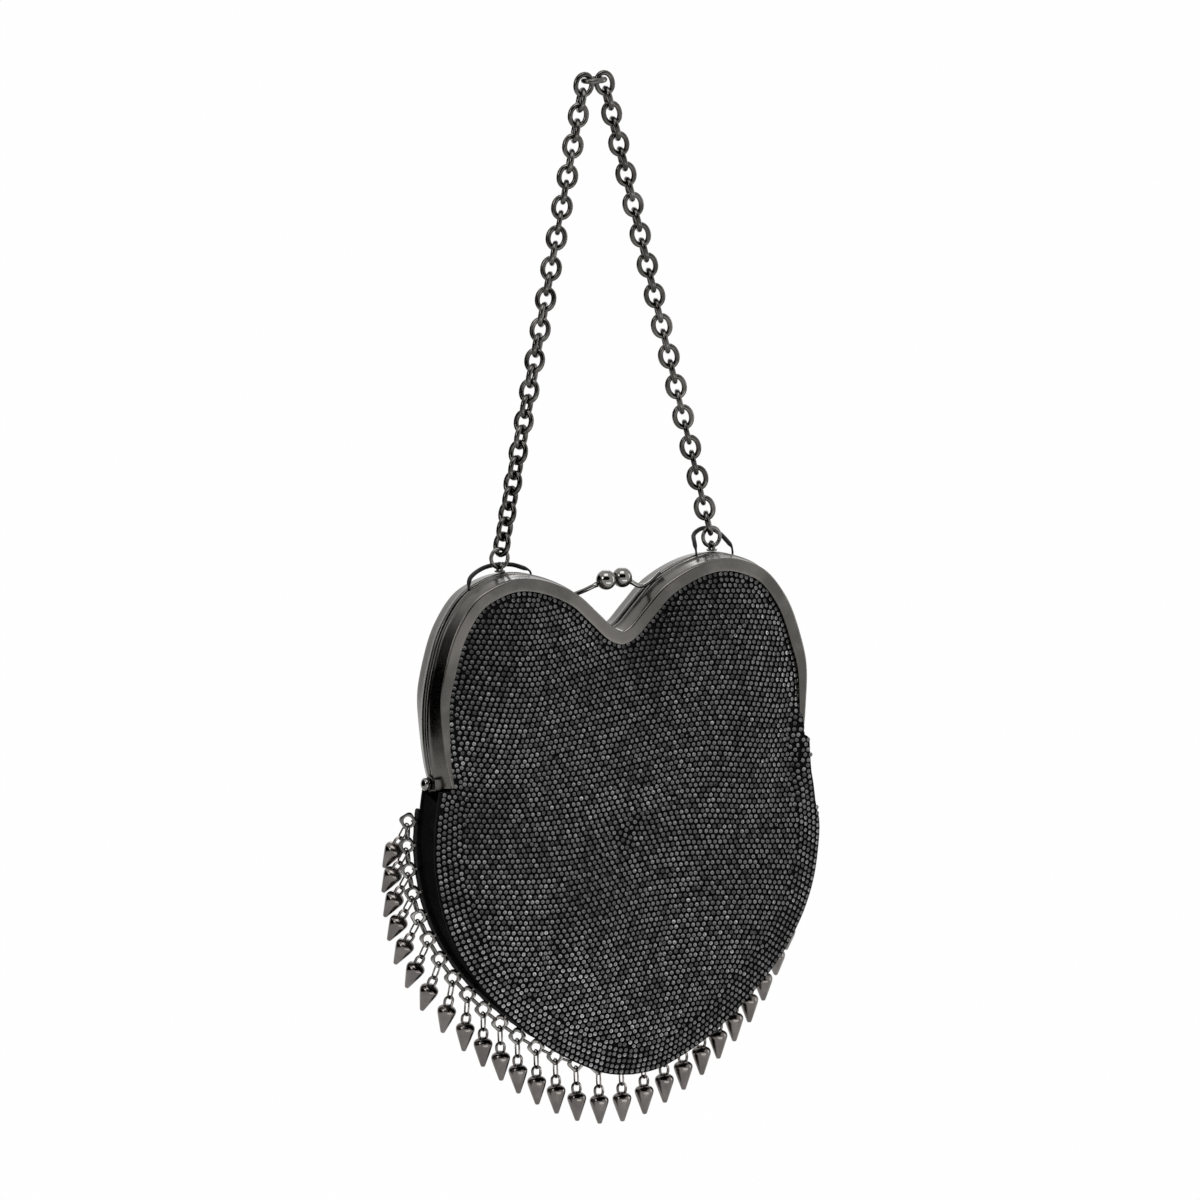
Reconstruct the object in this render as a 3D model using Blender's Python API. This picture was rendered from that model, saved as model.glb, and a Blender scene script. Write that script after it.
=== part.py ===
"""A mini bag with a heart-shaped clasp frame, in metres, +Z up.

The origin is the middle of the top chain link, where the handle hangs.
X is to the right, the front of the bag looks along -Y.
"""
import math

import bmesh
import bpy
from mathutils import Matrix, Vector

# Seating and shading
seat_gap = 0.0003
crease_angle = math.radians(38.0)

# Chain handle
link_width = 0.0083
top_link_length = 0.0105
link_wire = 0.00205
link_bite = 0.00022
left_link_count = 31
right_link_count = 30
link_arc_steps = 3
link_sides = 4
link_start_turn = math.radians(-10.0)
left_twist = math.radians(-63.0)
right_twist = math.radians(-18.0)
quarter_turn = math.radians(90.0)
half_turn = math.pi
full_turn = math.tau
strand_seat = 0.00149
strand_top_x = top_link_length / 2 - strand_seat

# Frame halves
parting_y = -0.0025
lip_gap = 0.0014
half_depth = 0.0090
sheet = 0.0008
lip_height = 0.0022
wall_recess = 0.0004
corner_round = 0.0009
corner_middle_share = 0.29
band_wide = 0.0060
band_narrow = 0.0016
leg_taper = 0.0021
rim_half_width = 0.0800
rim_height = 0.0785
rim_top_z = -0.1827
rim_span_step = 0.0115
rim_shares = (
    (0.0, 0.306), (0.0425, 0.281), (0.1175, 0.2055), (0.231, 0.102),
    (0.394, 0.025), (0.55, 0.0), (0.694, 0.0353), (0.80, 0.102),
    (0.894, 0.2346), (0.95, 0.382), (0.99, 0.5586), (0.999, 0.735),
    (0.985, 0.8865), (0.961, 1.0),
)
taper_start_share = 0.50
taper_run_share = 0.30
band_start_share = 0.45

# Jump rings and lugs
ring_share = 0.56375
ring_rise = 0.0055
ring_x = ring_share * rim_half_width
ring_z = rim_top_z + ring_rise
ring_outer = 0.0086
ring_wire = 0.0015
ring_steps = 12
ring_sides = 5
staple_wire = 0.0012
staple_sides = 6
staple_arc_steps = 4
lug_base_length = 0.0040
lug_base_thickness = 0.0005

# Frame hinge
hinge_rise = 0.0017
hinge_z = rim_top_z - rim_height + hinge_rise
leg_x_share = 0.965625
leg_x = leg_x_share * rim_half_width
ear_radius = 0.0030
ear_thickness = 0.0008
rear_boss_step = 0.00205
rear_boss_x = leg_x - rear_boss_step
ear_split_step = 0.0005
ear_split_x = leg_x + ear_split_step
joggle_thickness = 0.0013
plate_reach = 0.0049
plate_half_height = 0.0022
plate_start = 0.0015
joggle_depth = 0.0021
relief_radius = 0.0034
rivet_shank = 0.0018
rivet_head = 0.0050
rivet_head_height = 0.0019
rivet_head_edge = 0.0006
rivet_head_top = 0.0004
dome_rise_angle = math.radians(55.0)
dome_round_angle = math.radians(50.0)
rivet_tail = 0.0030
rivet_tail_height = 0.0006
washer_outer = 0.0044
washer_thickness = 0.0006
hinge_sides = 16
rivet_sides = 12
cutter_reach = 0.0040

# Kiss lock: the balls from the middle of the rim's top line, the arms as shares of
# the rim's half width, of the depth of a half and of the rim's height
ball_radius = 0.0038
left_ball = (-0.0029, -0.0053, -0.0059)
right_ball = (0.0050, -0.0033, -0.0059)
arm_wire = 0.0018
arm_sides = 6
left_arm_shares = ((-0.125, 0.100, -0.1223), (-0.1675, 0.322, -0.1414))
right_arm_shares = (
    (0.1525, -0.155, -0.1236), (0.1975, -0.200, -0.1096), (0.25375, -0.211, -0.0650),
)
ball_rings = 6
ball_segments = 10

# Strap loops: from the top line of the rim below the ring of the same side, in shares
# of the rim's half width, of the depth of a half and of the rim's height
loop_wire = 0.0017
loop_foot_wire = 0.0008
loop_sides = 5
left_loop_shares = (
    (-0.1862, 0.000, -0.0994), (-0.1837, 0.022, -0.0548), (-0.1613, 0.189, -0.0076),
    (-0.0800, 0.567, 0.0217), (0.0013, 0.722, 0.0318), (0.0825, 0.656, 0.0268),
    (0.1263, 0.322, 0.0115), (0.1450, 0.034, -0.0025), (0.1500, 0.000, -0.0395),
)
right_loop_shares = (
    (-0.0988, 0.000, -0.0293), (-0.0988, 0.022, 0.0140), (-0.0912, 0.256, 0.0471),
    (-0.0638, 0.678, 0.0790), (-0.0138, 0.856, 0.1006), (0.0362, 0.811, 0.0981),
    (0.0762, 0.678, 0.0701), (0.0888, 0.267, 0.0344), (0.0925, 0.022, 0.0115),
    (0.0938, 0.000, -0.0357),
)

# Pouch
pouch_swell = 0.0018
seam_half_width = rim_half_width + pouch_swell
seam_depth = 0.1118
seam_drop = 0.0025
seam_top_z = rim_top_z - rim_height - seam_drop
seam_span_step = 0.0090
seam_shares = (
    (0.0, 1.0), (0.131, 0.9894), (0.269, 0.949), (0.403, 0.896), (0.507, 0.8414),
    (0.636, 0.762), (0.770, 0.6608), (0.856, 0.5727), (0.923, 0.480), (0.972, 0.370),
    (1.0, 0.220), (0.990, 0.0925), (0.966, 0.0),
)
rear_width_share = 0.970
rear_depth_share = 0.951
panel_thickness = 0.0012
panel_tuck = 0.0015
panel_clear = 0.0017
rim_surface = 0.0084
seam_surface = 0.0092
panel_bulge = 0.0046
bulge_clear = 0.0020
bulge_run = 0.0320
panel_columns = 20
panel_rows = 8
upper_rows = 4
knee_inset = 0.0079
knee_x = rim_half_width - knee_inset
knee_drop = 0.0003
knee_z = seam_top_z - knee_drop
gusset_thickness = 0.0010
gusset_stations = 30
gusset_inset_share = 0.988
gusset_sag_share = 0.970
gusset_reach = 0.0069
gusset_edge_drop = 0.0031
gusset_edge_z = seam_top_z - gusset_edge_drop
gusset_middle_drop = 0.0069
gusset_middle_z = seam_top_z - gusset_middle_drop

# Notch lining
lining_thickness = 0.0006
lining_inset = 0.0010
lining_depth = 0.0046
lining_half_steps = 4

# Fringe: the shares of the pitch are the sizes of one star, its ring and its spike
spikes_per_side = 16
fringe_run_share = 0.953663
fringe_y = 0.0067
star_offset_share = 0.5114
star_lobe_share = 0.3182
star_waist_share = 0.2500
star_hole_share = 0.2273
star_thickness_share = 0.0909
star_points = 8
fringe_wire_share = 0.0682
fringe_seat_share = 0.0795
fringe_link_share = 0.3750
fringe_sides = 3
fringe_arc_steps = 3
ring_bite_share = 0.0284
bar_start_share = 0.2330
cord_radius = 0.0005
cord_offset = 0.0010
cord_stations = 36
cord_sides = 4
loop_top_share = 0.7614
spike_loop_height_share = 0.4261
spike_loop_width_share = 0.5114
spike_loop_wire_share = 0.1023
spike_loop_sides = 3
spike_loop_steps = 4
spike_length_share = 1.2841
spike_radius_share = 0.4091
spike_shares = ((0.0, 0.45), (0.10, 0.90), (0.22, 1.0), (1.0, 0.22))
spike_sides = 8
lean_out = 0.30
lean_rear = 0.62
lean_start_share = 0.62
lean_run_share = 0.36

# Surfaces: colour, roughness, metallic
gunmetal = ((0.095, 0.092, 0.086), 0.22, 1.0)
satin_metal = ((0.150, 0.145, 0.132), 0.34, 1.0)
stud_cloth = ((0.050, 0.050, 0.050), 0.40, 0.7)
black_cloth = ((0.010, 0.010, 0.010), 0.85, 0.0)
black_cord = ((0.012, 0.012, 0.012), 0.60, 0.0)

# Pieces that move with each half of the frame
front_pieces = ("front_frame", "kiss_ball_right", "kiss_arm_right", "front_panel")
rear_pieces = (
    "rear_frame", "lug_left", "lug_right", "rivet_left", "rivet_right",
    "hinge_washer_left", "hinge_washer_right", "kiss_ball_left", "kiss_arm_left",
    "strap_loop_left", "strap_loop_right", "rear_panel", "gusset", "notch_lining", "fringe_trim",
)

x_axis = Vector((1.0, 0.0, 0.0))
y_axis = Vector((0.0, 1.0, 0.0))
z_axis = Vector((0.0, 0.0, 1.0))


def clear_scene():
    """Remove every object that is in the scene."""
    for item in list(bpy.data.objects):
        bpy.data.objects.remove(item, do_unlink=True)


def surface(name, finish):
    """Make one material from colour, roughness and metallic."""
    colour, roughness, metallic = finish
    material = bpy.data.materials.new(name)
    material.use_nodes = True
    shader = material.node_tree.nodes["Principled BSDF"]
    shader.inputs["Base Color"].default_value = (*colour, 1.0)
    shader.inputs["Roughness"].default_value = roughness
    shader.inputs["Metallic"].default_value = metallic
    return material


def add_object(name, bm, finish, smooth=True):
    """Turn a bmesh into one named object with its own material."""
    bmesh.ops.recalc_face_normals(bm, faces=bm.faces)
    mesh = bpy.data.meshes.new(name)
    bm.to_mesh(mesh)
    bm.free()
    item = bpy.data.objects.new(name, mesh)
    bpy.context.scene.collection.objects.link(item)
    mesh.materials.append(surface(name, finish))
    if smooth:
        for face in mesh.polygons:
            face.use_smooth = True
        mesh.set_sharp_from_angle(angle=crease_angle)
    return item


def apply_boolean(item, tool, operation):
    """Join or cut one object with another and remove the tool."""
    change = item.modifiers.new(operation, "BOOLEAN")
    change.operation = operation
    change.solver = "EXACT"
    change.object = tool
    graph = bpy.context.evaluated_depsgraph_get()
    result = bpy.data.meshes.new_from_object(item.evaluated_get(graph))
    item.modifiers.clear()
    old = item.data
    item.data = result
    bpy.data.meshes.remove(old)
    bpy.data.objects.remove(tool, do_unlink=True)


def skin(bm, rings, closed=False):
    """Join rings of points into one closed body, capped unless it closes on itself."""
    loops = [[bm.verts.new(point) for point in ring] for ring in rings]
    pairs = list(zip(loops, loops[1:]))
    if closed:
        pairs.append((loops[-1], loops[0]))
    count = len(loops[0])
    for first, second in pairs:
        for i in range(count):
            j = (i + 1) % count
            bm.faces.new((first[i], first[j], second[j], second[i]))
    if not closed:
        bm.faces.new(loops[0])
        bm.faces.new(loops[-1])


def tube(bm, points, radii, sides, closed=False, flat_normal=None):
    """Sweep a round section along a path."""
    count = len(points)
    rings = []
    side = flat_normal
    for i, point in enumerate(points):
        after = points[(i + 1) % count] - point
        before = point - points[i - 1]
        if not closed and i == 0:
            before = after
        if not closed and i == count - 1:
            after = before
        ahead = (after.normalized() + before.normalized()).normalized()
        corner = 1 / ahead.dot(after.normalized())
        if side is None:
            side = ahead.orthogonal().normalized()
        side = (side - ahead * side.dot(ahead)).normalized()
        other = ahead.cross(side)
        ring = []
        for k in range(sides):
            angle = full_turn * k / sides
            offset = side * math.cos(angle) + other * (math.sin(angle) * corner)
            ring.append(point + offset * radii[i])
        rings.append(ring)
    skin(bm, rings, closed)


def even_tube(bm, points, radius, sides, closed=False, flat_normal=None):
    """Sweep a round section of one radius along a path."""
    tube(bm, points, [radius] * len(points), sides, closed, flat_normal)


def oval_path(centre, along, across, length, width, arc_steps):
    """Middle line of an oval link: two half circles and two straights."""
    radius = width / 2
    straight = (length - width) / 2
    reach = radius / max(math.sin(half_turn * k / arc_steps) for k in range(arc_steps))
    points = []
    for end in (1, -1):
        for k in range(arc_steps + 1):
            angle = half_turn * k / arc_steps
            sideways = across * (math.cos(angle) * radius * end)
            lengthways = along * ((math.sin(angle) * reach + straight) * end)
            points.append(centre + sideways + lengthways)
    return points


def oval_link(bm, centre, along, normal, length, width, wire, arc_steps, sides):
    """Add one closed wire link of the given outer length and width."""
    along = along.normalized()
    normal = (normal - along * normal.dot(along)).normalized()
    across = along.cross(normal)
    path = oval_path(centre, along, across, length - wire, width - wire, arc_steps)
    even_tube(bm, path, wire / 2, sides, True, normal)


def rotated_side(azimuth):
    """Level direction at an angle from the front, seen from above."""
    return Vector((math.sin(azimuth), -math.cos(azimuth), 0.0))


def revolve(bm, origin, axis, profile, sides):
    """Turn a profile of (distance along the axis, radius) into a closed body."""
    side = axis.orthogonal().normalized()
    other = axis.cross(side)
    rings = []
    for along, radius in profile:
        ring = []
        for k in range(sides):
            angle = full_turn * k / sides
            offset = side * math.cos(angle) + other * math.sin(angle)
            ring.append(origin + axis * along + offset * radius)
        rings.append(ring)
    skin(bm, rings)


def annulus(bm, centre, axis, outer, inner, thickness, sides):
    """Add a flat ring whose hole runs along the axis."""
    half = thickness / 2
    side = axis.orthogonal().normalized()
    other = axis.cross(side)
    rings = []
    for k in range(sides):
        angle = full_turn * k / sides
        out = side * math.cos(angle) + other * math.sin(angle)
        ring = []
        for radius, height in ((outer, half), (outer, -half), (inner, -half), (inner, half)):
            ring.append(centre + out * radius + axis * height)
        rings.append(ring)
    skin(bm, rings, True)


def spline(points, step):
    """Smooth curve through the points, with a new point at most every step."""
    result = []
    count = len(points)
    for i in range(count - 1):
        before = points[max(i - 1, 0)]
        start = points[i]
        end = points[i + 1]
        after = points[min(i + 2, count - 1)]
        pieces = max(1, math.ceil((end - start).length / step))
        for k in range(pieces):
            t = k / pieces
            straight = start.lerp(end, t)
            bend_start = (end - before) / 2 - (end - start)
            bend_end = (after - start) / 2 - (end - start)
            bend = bend_start * (t * (1 - t) ** 2) - bend_end * (t * t * (1 - t))
            result.append(straight + bend)
    result.append(points[-1])
    return result


def mirrored(half):
    """Full outline from left to right out of a half that starts at the middle."""
    left = [Vector((-point.x, point.y, point.z)) for point in reversed(half)]
    return left + half[1:]


def walk(points, share):
    """Point at a share of the length of a path."""
    lengths = [0.0]
    for start, end in zip(points, points[1:]):
        lengths.append(lengths[-1] + (end - start).length)
    target = min(max(share, 0.0), 1.0) * lengths[-1]
    for i in range(len(points) - 1):
        if target <= lengths[i + 1]:
            run = lengths[i + 1] - lengths[i]
            return points[i].lerp(points[i + 1], (target - lengths[i]) / run)
    return points[-1].copy()


def path_length(points):
    """Length of a path."""
    return sum((end - start).length for start, end in zip(points, points[1:]))


def smooth_share(value):
    """Ease a share from zero to one."""
    value = min(max(value, 0.0), 1.0)
    return value * value * (3 - 2 * value)


def rim_half():
    """Half of the heart-shaped frame outline, from the notch to the leg end."""
    points = []
    for x_share, z_share in rim_shares:
        points.append(Vector((x_share * rim_half_width, 0.0, rim_top_z - z_share * rim_height)))
    return spline(points, rim_span_step)


def seam_half(width_share=1.0, depth_share=1.0):
    """Half of the pouch seam outline, from the lowest point to the leg end."""
    points = []
    for x_share, z_share in seam_shares:
        x = x_share * seam_half_width * width_share
        z = seam_top_z - z_share * seam_depth * depth_share
        points.append(Vector((x, 0.0, z)))
    return spline(points, seam_span_step)


def depth_share_at(point):
    """How far down the frame a point of the outline lies."""
    return (rim_top_z - point.z) / rim_height


def face_inset(point):
    """How far the face of the frame lies inside the lip."""
    return leg_taper * smooth_share((depth_share_at(point) - taper_start_share) / taper_run_share)


def band_width(point):
    """Width of the face band at a point of the outline."""
    share = (depth_share_at(point) - band_start_share) / (1 - band_start_share)
    share = min(max(share, 0.0), 1.0)
    return band_wide + (band_narrow - band_wide) * share


def right_normals(points):
    """Directions to the right of a path, which is inside for one that runs over the top."""
    result = []
    last = len(points) - 1
    for i in range(len(points)):
        ahead = points[min(i + 1, last)] - points[max(i - 1, 0)]
        ahead.normalize()
        result.append(Vector((ahead.z, 0.0, -ahead.x)))
    return result


def frame_section(point, inward, side):
    """Section of one frame half; side is -1 at the front and 1 at the rear."""
    inset = face_inset(point)
    band = band_width(point)
    lip = lip_gap / 2
    lip_end = lip + lip_height
    deep = lip + half_depth
    wall = wall_recess + inset
    wall_start = wall_recess + inset * (lip_height / half_depth)
    lip_inside = wall_recess + sheet
    corner_mid = corner_round * corner_middle_share
    shape = (
        (0.0, lip), (0.0, lip_end), (wall_start, lip_end + wall_recess),
        (wall, deep - corner_round), (wall + corner_mid, deep - corner_mid),
        (wall + corner_round, deep), (inset + band, deep), (inset + band, deep - sheet),
        (wall + sheet, deep - sheet), (lip_inside, lip),
    )
    ring = []
    for inside, depth in shape:
        ring.append(point + inward * inside + y_axis * (parting_y + side * depth))
    return ring


def frame_half(name, side, finish):
    """One pressed frame half with its two hinge ears."""
    outline = mirrored(rim_half())
    normals = right_normals(outline)
    bm = bmesh.new()
    skin(bm, [frame_section(point, inward, side) for point, inward in zip(outline, normals)])
    item = add_object(name, bm, finish)
    for hand in (-1, 1):
        axis = x_axis * hand
        base = Vector((0.0, parting_y, hinge_z))
        if side > 0:
            start = rear_boss_x
            end = ear_split_x - seat_gap / 2
            cut = (ear_split_x - seat_gap, ear_split_x + cutter_reach)
        else:
            start = ear_split_x + seat_gap / 2
            end = start + ear_thickness
            cut = (ear_split_x - cutter_reach, ear_split_x + seat_gap)
        cut_with_cylinder(item, base, axis, cut, relief_radius, finish)
        ear = bmesh.new()
        profile = ((start, ear_radius), (end, ear_radius))
        revolve(ear, base, axis, profile, hinge_sides)
        apply_boolean(item, add_object("ear", ear, finish), "UNION")
        if side < 0:
            apply_boolean(item, joggled_plate(hand, start, end, finish), "UNION")
        hole = rivet_shank / 2 + seat_gap
        through = (start - cutter_reach, end + cutter_reach)
        cut_with_cylinder(item, base, axis, through, hole, finish)
    dress_mesh(item, finish)
    return item


def cut_with_cylinder(item, base, axis, span, radius, finish):
    """Cut a round hole or relief between two distances along an axis."""
    tool = bmesh.new()
    revolve(tool, base, axis, ((span[0], radius), (span[1], radius)), hinge_sides)
    apply_boolean(item, add_object("cutter", tool, finish), "DIFFERENCE")


def joggled_plate(hand, start, end, finish):
    """Plate that steps from the front wall out to the front hinge ear."""
    near = parting_y - plate_start
    far = parting_y - plate_reach
    step = far + joggle_thickness
    shape = (
        (start, near), (end, near), (end, far), (start - joggle_depth, far),
        (start - joggle_depth, step), (start, step),
    )
    rings = []
    for height in (-plate_half_height, plate_half_height):
        rings.append([Vector((hand * x, y, hinge_z + height)) for x, y in shape])
    bm = bmesh.new()
    skin(bm, rings)
    return add_object("plate", bm, finish)


def dress_mesh(item, finish):
    """Give a joined mesh one material and clean shading."""
    item.data.name = item.name
    item.data.materials.clear()
    item.data.materials.append(surface(item.name, finish))
    for face in item.data.polygons:
        face.use_smooth = True
        face.material_index = 0
    item.data.set_sharp_from_angle(angle=crease_angle)


def build_hinges():
    """Two rivets with a dome head outside and a flat tail inside, and two washers."""
    tail_start = rear_boss_x - seat_gap - rivet_tail_height
    washer_start = ear_split_x + seat_gap / 2 + ear_thickness + seat_gap
    head_start = washer_start + washer_thickness + seat_gap
    dome_mid = rivet_head_height * math.sin(dome_rise_angle)
    dome_mid_radius = rivet_head / 2 * math.cos(dome_round_angle)
    for hand, word in ((-1, "left"), (1, "right")):
        axis = x_axis * hand
        base = Vector((0.0, parting_y, hinge_z))
        profile = (
            (tail_start, rivet_tail / 2),
            (tail_start + rivet_tail_height, rivet_tail / 2),
            (tail_start + rivet_tail_height, rivet_shank / 2),
            (head_start, rivet_shank / 2),
            (head_start, rivet_head / 2),
            (head_start + rivet_head_edge, rivet_head / 2),
            (head_start + dome_mid, dome_mid_radius),
            (head_start + rivet_head_height, rivet_head_top),
        )
        bm = bmesh.new()
        revolve(bm, base, axis, profile, rivet_sides)
        add_object("rivet_" + word, bm, gunmetal)
        bm = bmesh.new()
        middle = base + axis * (washer_start + washer_thickness / 2)
        inner = rivet_shank / 2 + seat_gap
        annulus(bm, middle, axis, washer_outer / 2, inner, washer_thickness, rivet_sides)
        add_object("hinge_washer_" + word, bm, satin_metal)


def rim_place(across, depth_share, height_share):
    """Point by the top line of the rim, from shares of the half depth and the rim height."""
    y = parting_y + depth_share * half_depth
    return Vector((across, y, rim_top_z + height_share * rim_height))


def build_kiss_lock():
    """Two balls, each on its own bent wire arm."""
    for word, ball, arm in (
        ("left", left_ball, left_arm_shares), ("right", right_ball, right_arm_shares),
    ):
        centre = Vector(ball) + z_axis * rim_top_z
        bm = bmesh.new()
        place = Matrix.Translation(centre)
        bmesh.ops.create_uvsphere(
            bm, u_segments=ball_segments, v_segments=ball_rings, radius=ball_radius, matrix=place,
        )
        add_object("kiss_ball_" + word, bm, gunmetal)
        points = []
        for x, y, z in arm:
            points.append(rim_place(x * rim_half_width, y, z))
        stand_off = ball_radius + seat_gap
        start = centre + (points[0] - centre).normalized() * stand_off
        bm = bmesh.new()
        even_tube(bm, [start] + points, arm_wire / 2, arm_sides)
        add_object("kiss_arm_" + word, bm, gunmetal)


def build_chain():
    """Top link, two strands of links and two jump rings."""
    bm = bmesh.new()
    oval_link(
        bm, Vector(), x_axis, z_axis, top_link_length, link_width, link_wire,
        link_arc_steps, link_sides,
    )
    add_object("chain_top_link", bm, gunmetal)
    strands = (("left", -1, left_link_count, left_twist), ("right", 1, right_link_count, right_twist))
    for word, hand, count, twist in strands:
        top = Vector((hand * strand_top_x, 0.0, link_wire / 2 + seat_gap))
        ring = Vector((hand * ring_x, 0.0, ring_z))
        down = (ring - top).normalized()
        hang = ring_outer / 2 - ring_wire - link_wire / 2 - seat_gap
        pitch = ((ring - top).length - hang + link_bite - link_wire / 2) / count
        length = pitch + link_wire * 2 - link_bite
        start = top + down * (length / 2 - link_wire)
        turned = (bmesh.new(), bmesh.new())
        for k in range(count):
            centre = start + down * (pitch * k)
            turn = link_start_turn + twist * (k / (count - 1))
            normal = rotated_side(turn + quarter_turn * (k % 2))
            oval_link(
                turned[k % 2], centre, down, normal, length, link_width, link_wire,
                link_arc_steps, link_sides,
            )
        item = add_object("chain_" + word, turned[0], gunmetal)
        apply_boolean(item, add_object("turned_links", turned[1], gunmetal), "UNION")
        dress_mesh(item, gunmetal)
        bm = bmesh.new()
        radius = (ring_outer - ring_wire) / 2
        path = []
        for k in range(ring_steps):
            angle = full_turn * k / ring_steps
            path.append(ring + x_axis * (math.cos(angle) * radius) + z_axis * (math.sin(angle) * radius))
        even_tube(bm, path, ring_wire / 2, ring_sides, True, y_axis)
        add_object("jump_ring_" + word, bm, gunmetal)


def build_lugs():
    """A staple on a small base for each jump ring."""
    ring_bottom = ring_z - (ring_outer - ring_wire) / 2
    staple_top = ring_bottom + (ring_wire + staple_wire) / 2 + seat_gap
    reach = ring_wire / 2 + seat_gap + staple_wire / 2
    base_low = rim_top_z + seat_gap
    base_high = base_low + lug_base_thickness
    arc_low = staple_top - reach
    for word, hand in (("left", -1), ("right", 1)):
        middle = Vector((hand * ring_x, 0.0, 0.0))
        path = [middle + y_axis * reach + z_axis * (base_low + lug_base_thickness / 2)]
        for k in range(staple_arc_steps + 1):
            angle = half_turn * k / staple_arc_steps
            sideways = y_axis * (math.cos(angle) * reach)
            path.append(middle + sideways + z_axis * (arc_low + math.sin(angle) * reach))
        path.append(middle - y_axis * reach + z_axis * (base_low + lug_base_thickness / 2))
        bm = bmesh.new()
        even_tube(bm, path, staple_wire / 2, staple_sides, False, x_axis)
        item = add_object("lug_" + word, bm, satin_metal)
        tool = bmesh.new()
        half_x = lug_base_length / 2
        half_y = reach + staple_wire / 2
        foot = []
        for x, y in ((half_x, half_y), (-half_x, half_y), (-half_x, -half_y), (half_x, -half_y)):
            foot.append(middle + x_axis * x + y_axis * y)
        low = [point + z_axis * base_low for point in foot]
        high = [point + z_axis * base_high for point in foot]
        skin(tool, [low, high])
        apply_boolean(item, add_object("base", tool, satin_metal), "UNION")
        dress_mesh(item, satin_metal)


def build_strap_loops():
    """Two black loops whose feet are held between the frame halves."""
    for word, hand, points in (("left", -1, left_loop_shares), ("right", 1, right_loop_shares)):
        path = []
        for x, y, z in points:
            path.append(rim_place(hand * ring_x + x * rim_half_width, y, z))
        radii = [loop_wire / 2] * len(path)
        radii[0] = loop_foot_wire / 2
        radii[1] = loop_foot_wire / 2
        radii[-1] = loop_foot_wire / 2
        radii[-2] = loop_foot_wire / 2
        bm = bmesh.new()
        tube(bm, path, radii, loop_sides)
        add_object("strap_loop_" + word, bm, black_cord)


def panel_top_edge():
    """Top edge of a panel, tucked behind the face band."""
    outline = mirrored(rim_half())
    edge = []
    for point, inward in zip(outline, right_normals(outline)):
        tucked = band_width(point) - panel_tuck
        clear = wall_recess + sheet + panel_clear
        edge.append(point + inward * (face_inset(point) + max(tucked, clear)))
    return edge


def distance_to(path, place):
    """Shortest distance from a point to a path."""
    best = rim_half_width
    for start, end in zip(path, path[1:]):
        run = end - start
        t = min(max((place - start).dot(run) / run.length_squared, 0.0), 1.0)
        best = min(best, (start + run * t - place).length)
    return best


def knee_point(top_point, bottom_point):
    """Where a column of the panel passes the leg ends, kept inside the legs."""
    t = (top_point.z - knee_z) / (top_point.z - bottom_point.z)
    knee = top_point.lerp(bottom_point, min(max(t, 0.0), 1.0))
    knee.x = min(max(knee.x, -knee_x), knee_x)
    knee.z = knee_z
    return knee


def build_panel(name, side, width_share, depth_share):
    """A soft panel between the frame and the seam."""
    top = panel_top_edge()
    bottom = mirrored(seam_half(width_share, depth_share))
    bm = bmesh.new()
    grid = []
    for i in range(panel_columns + 1):
        share = i / panel_columns
        top_point = walk(top, share)
        bottom_point = walk(bottom, share)
        column = []
        knee = knee_point(top_point, bottom_point)
        for j in range(panel_rows + 1):
            t = j / panel_rows
            if j <= upper_rows:
                place = top_point.lerp(knee, j / upper_rows)
            else:
                lower_rows = panel_rows - upper_rows
                place = knee.lerp(bottom_point, (j - upper_rows) / lower_rows)
            from_rim = smooth_share((distance_to(top, place) - bulge_clear) / bulge_run)
            from_seam = smooth_share(distance_to(bottom, place) / bulge_run)
            bulge = panel_bulge * from_rim * from_seam
            depth = rim_surface + (seam_surface - rim_surface) * t + bulge
            place.y = parting_y + side * (depth - panel_thickness / 2)
            column.append(bm.verts.new(place))
        grid.append(column)
    for i in range(panel_columns):
        for j in range(panel_rows):
            bm.faces.new((grid[i][j], grid[i + 1][j], grid[i + 1][j + 1], grid[i][j + 1]))
    item = add_object(name, bm, stud_cloth)
    thicken(item, panel_thickness)
    return item


def thicken(item, thickness):
    """Give a sheet its thickness, equally to both sides."""
    change = item.modifiers.new("thickness", "SOLIDIFY")
    change.thickness = thickness
    change.offset = 0.0
    change.use_even_offset = False


def run_below(points, z):
    """The part of a left-to-right outline that lies under a height, ends included."""
    inside = [point for point in points if point.z < z]
    first = inside[0]
    last = inside[-1]
    start = Vector((first.x, first.y, z))
    end = Vector((last.x, last.y, z))
    return [start] + inside + [end]


def build_gusset():
    """The black strip that joins the two panels round the pouch."""
    front = mirrored(seam_half(gusset_inset_share, 1.0))
    rear_share = rear_width_share * gusset_inset_share
    rear = mirrored(seam_half(rear_share, rear_depth_share))
    middle = []
    for a, b in zip(front, rear):
        middle.append(a.lerp(b, 1 / 2))
    lift = seat_gap + gusset_thickness
    front = run_below(front, gusset_edge_z)
    rear = run_below(rear, gusset_edge_z)
    middle = run_below(middle, gusset_middle_z)
    rows = (
        (front, parting_y - gusset_reach, 1.0),
        (middle, parting_y, gusset_sag_share),
        (rear, parting_y + gusset_reach, 1.0),
    )
    bm = bmesh.new()
    grid = []
    for i in range(gusset_stations + 1):
        share = i / gusset_stations
        ring = []
        for path, y, pull in rows:
            place = walk(path, share)
            place.x = place.x * pull
            place.z = place.z + lift
            place.y = y
            ring.append(bm.verts.new(place))
        grid.append(ring)
    for first, second in zip(grid, grid[1:]):
        for j in range(len(rows) - 1):
            bm.faces.new((first[j], first[j + 1], second[j + 1], second[j]))
    item = add_object("gusset", bm, black_cloth)
    thicken(item, gusset_thickness)


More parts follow.
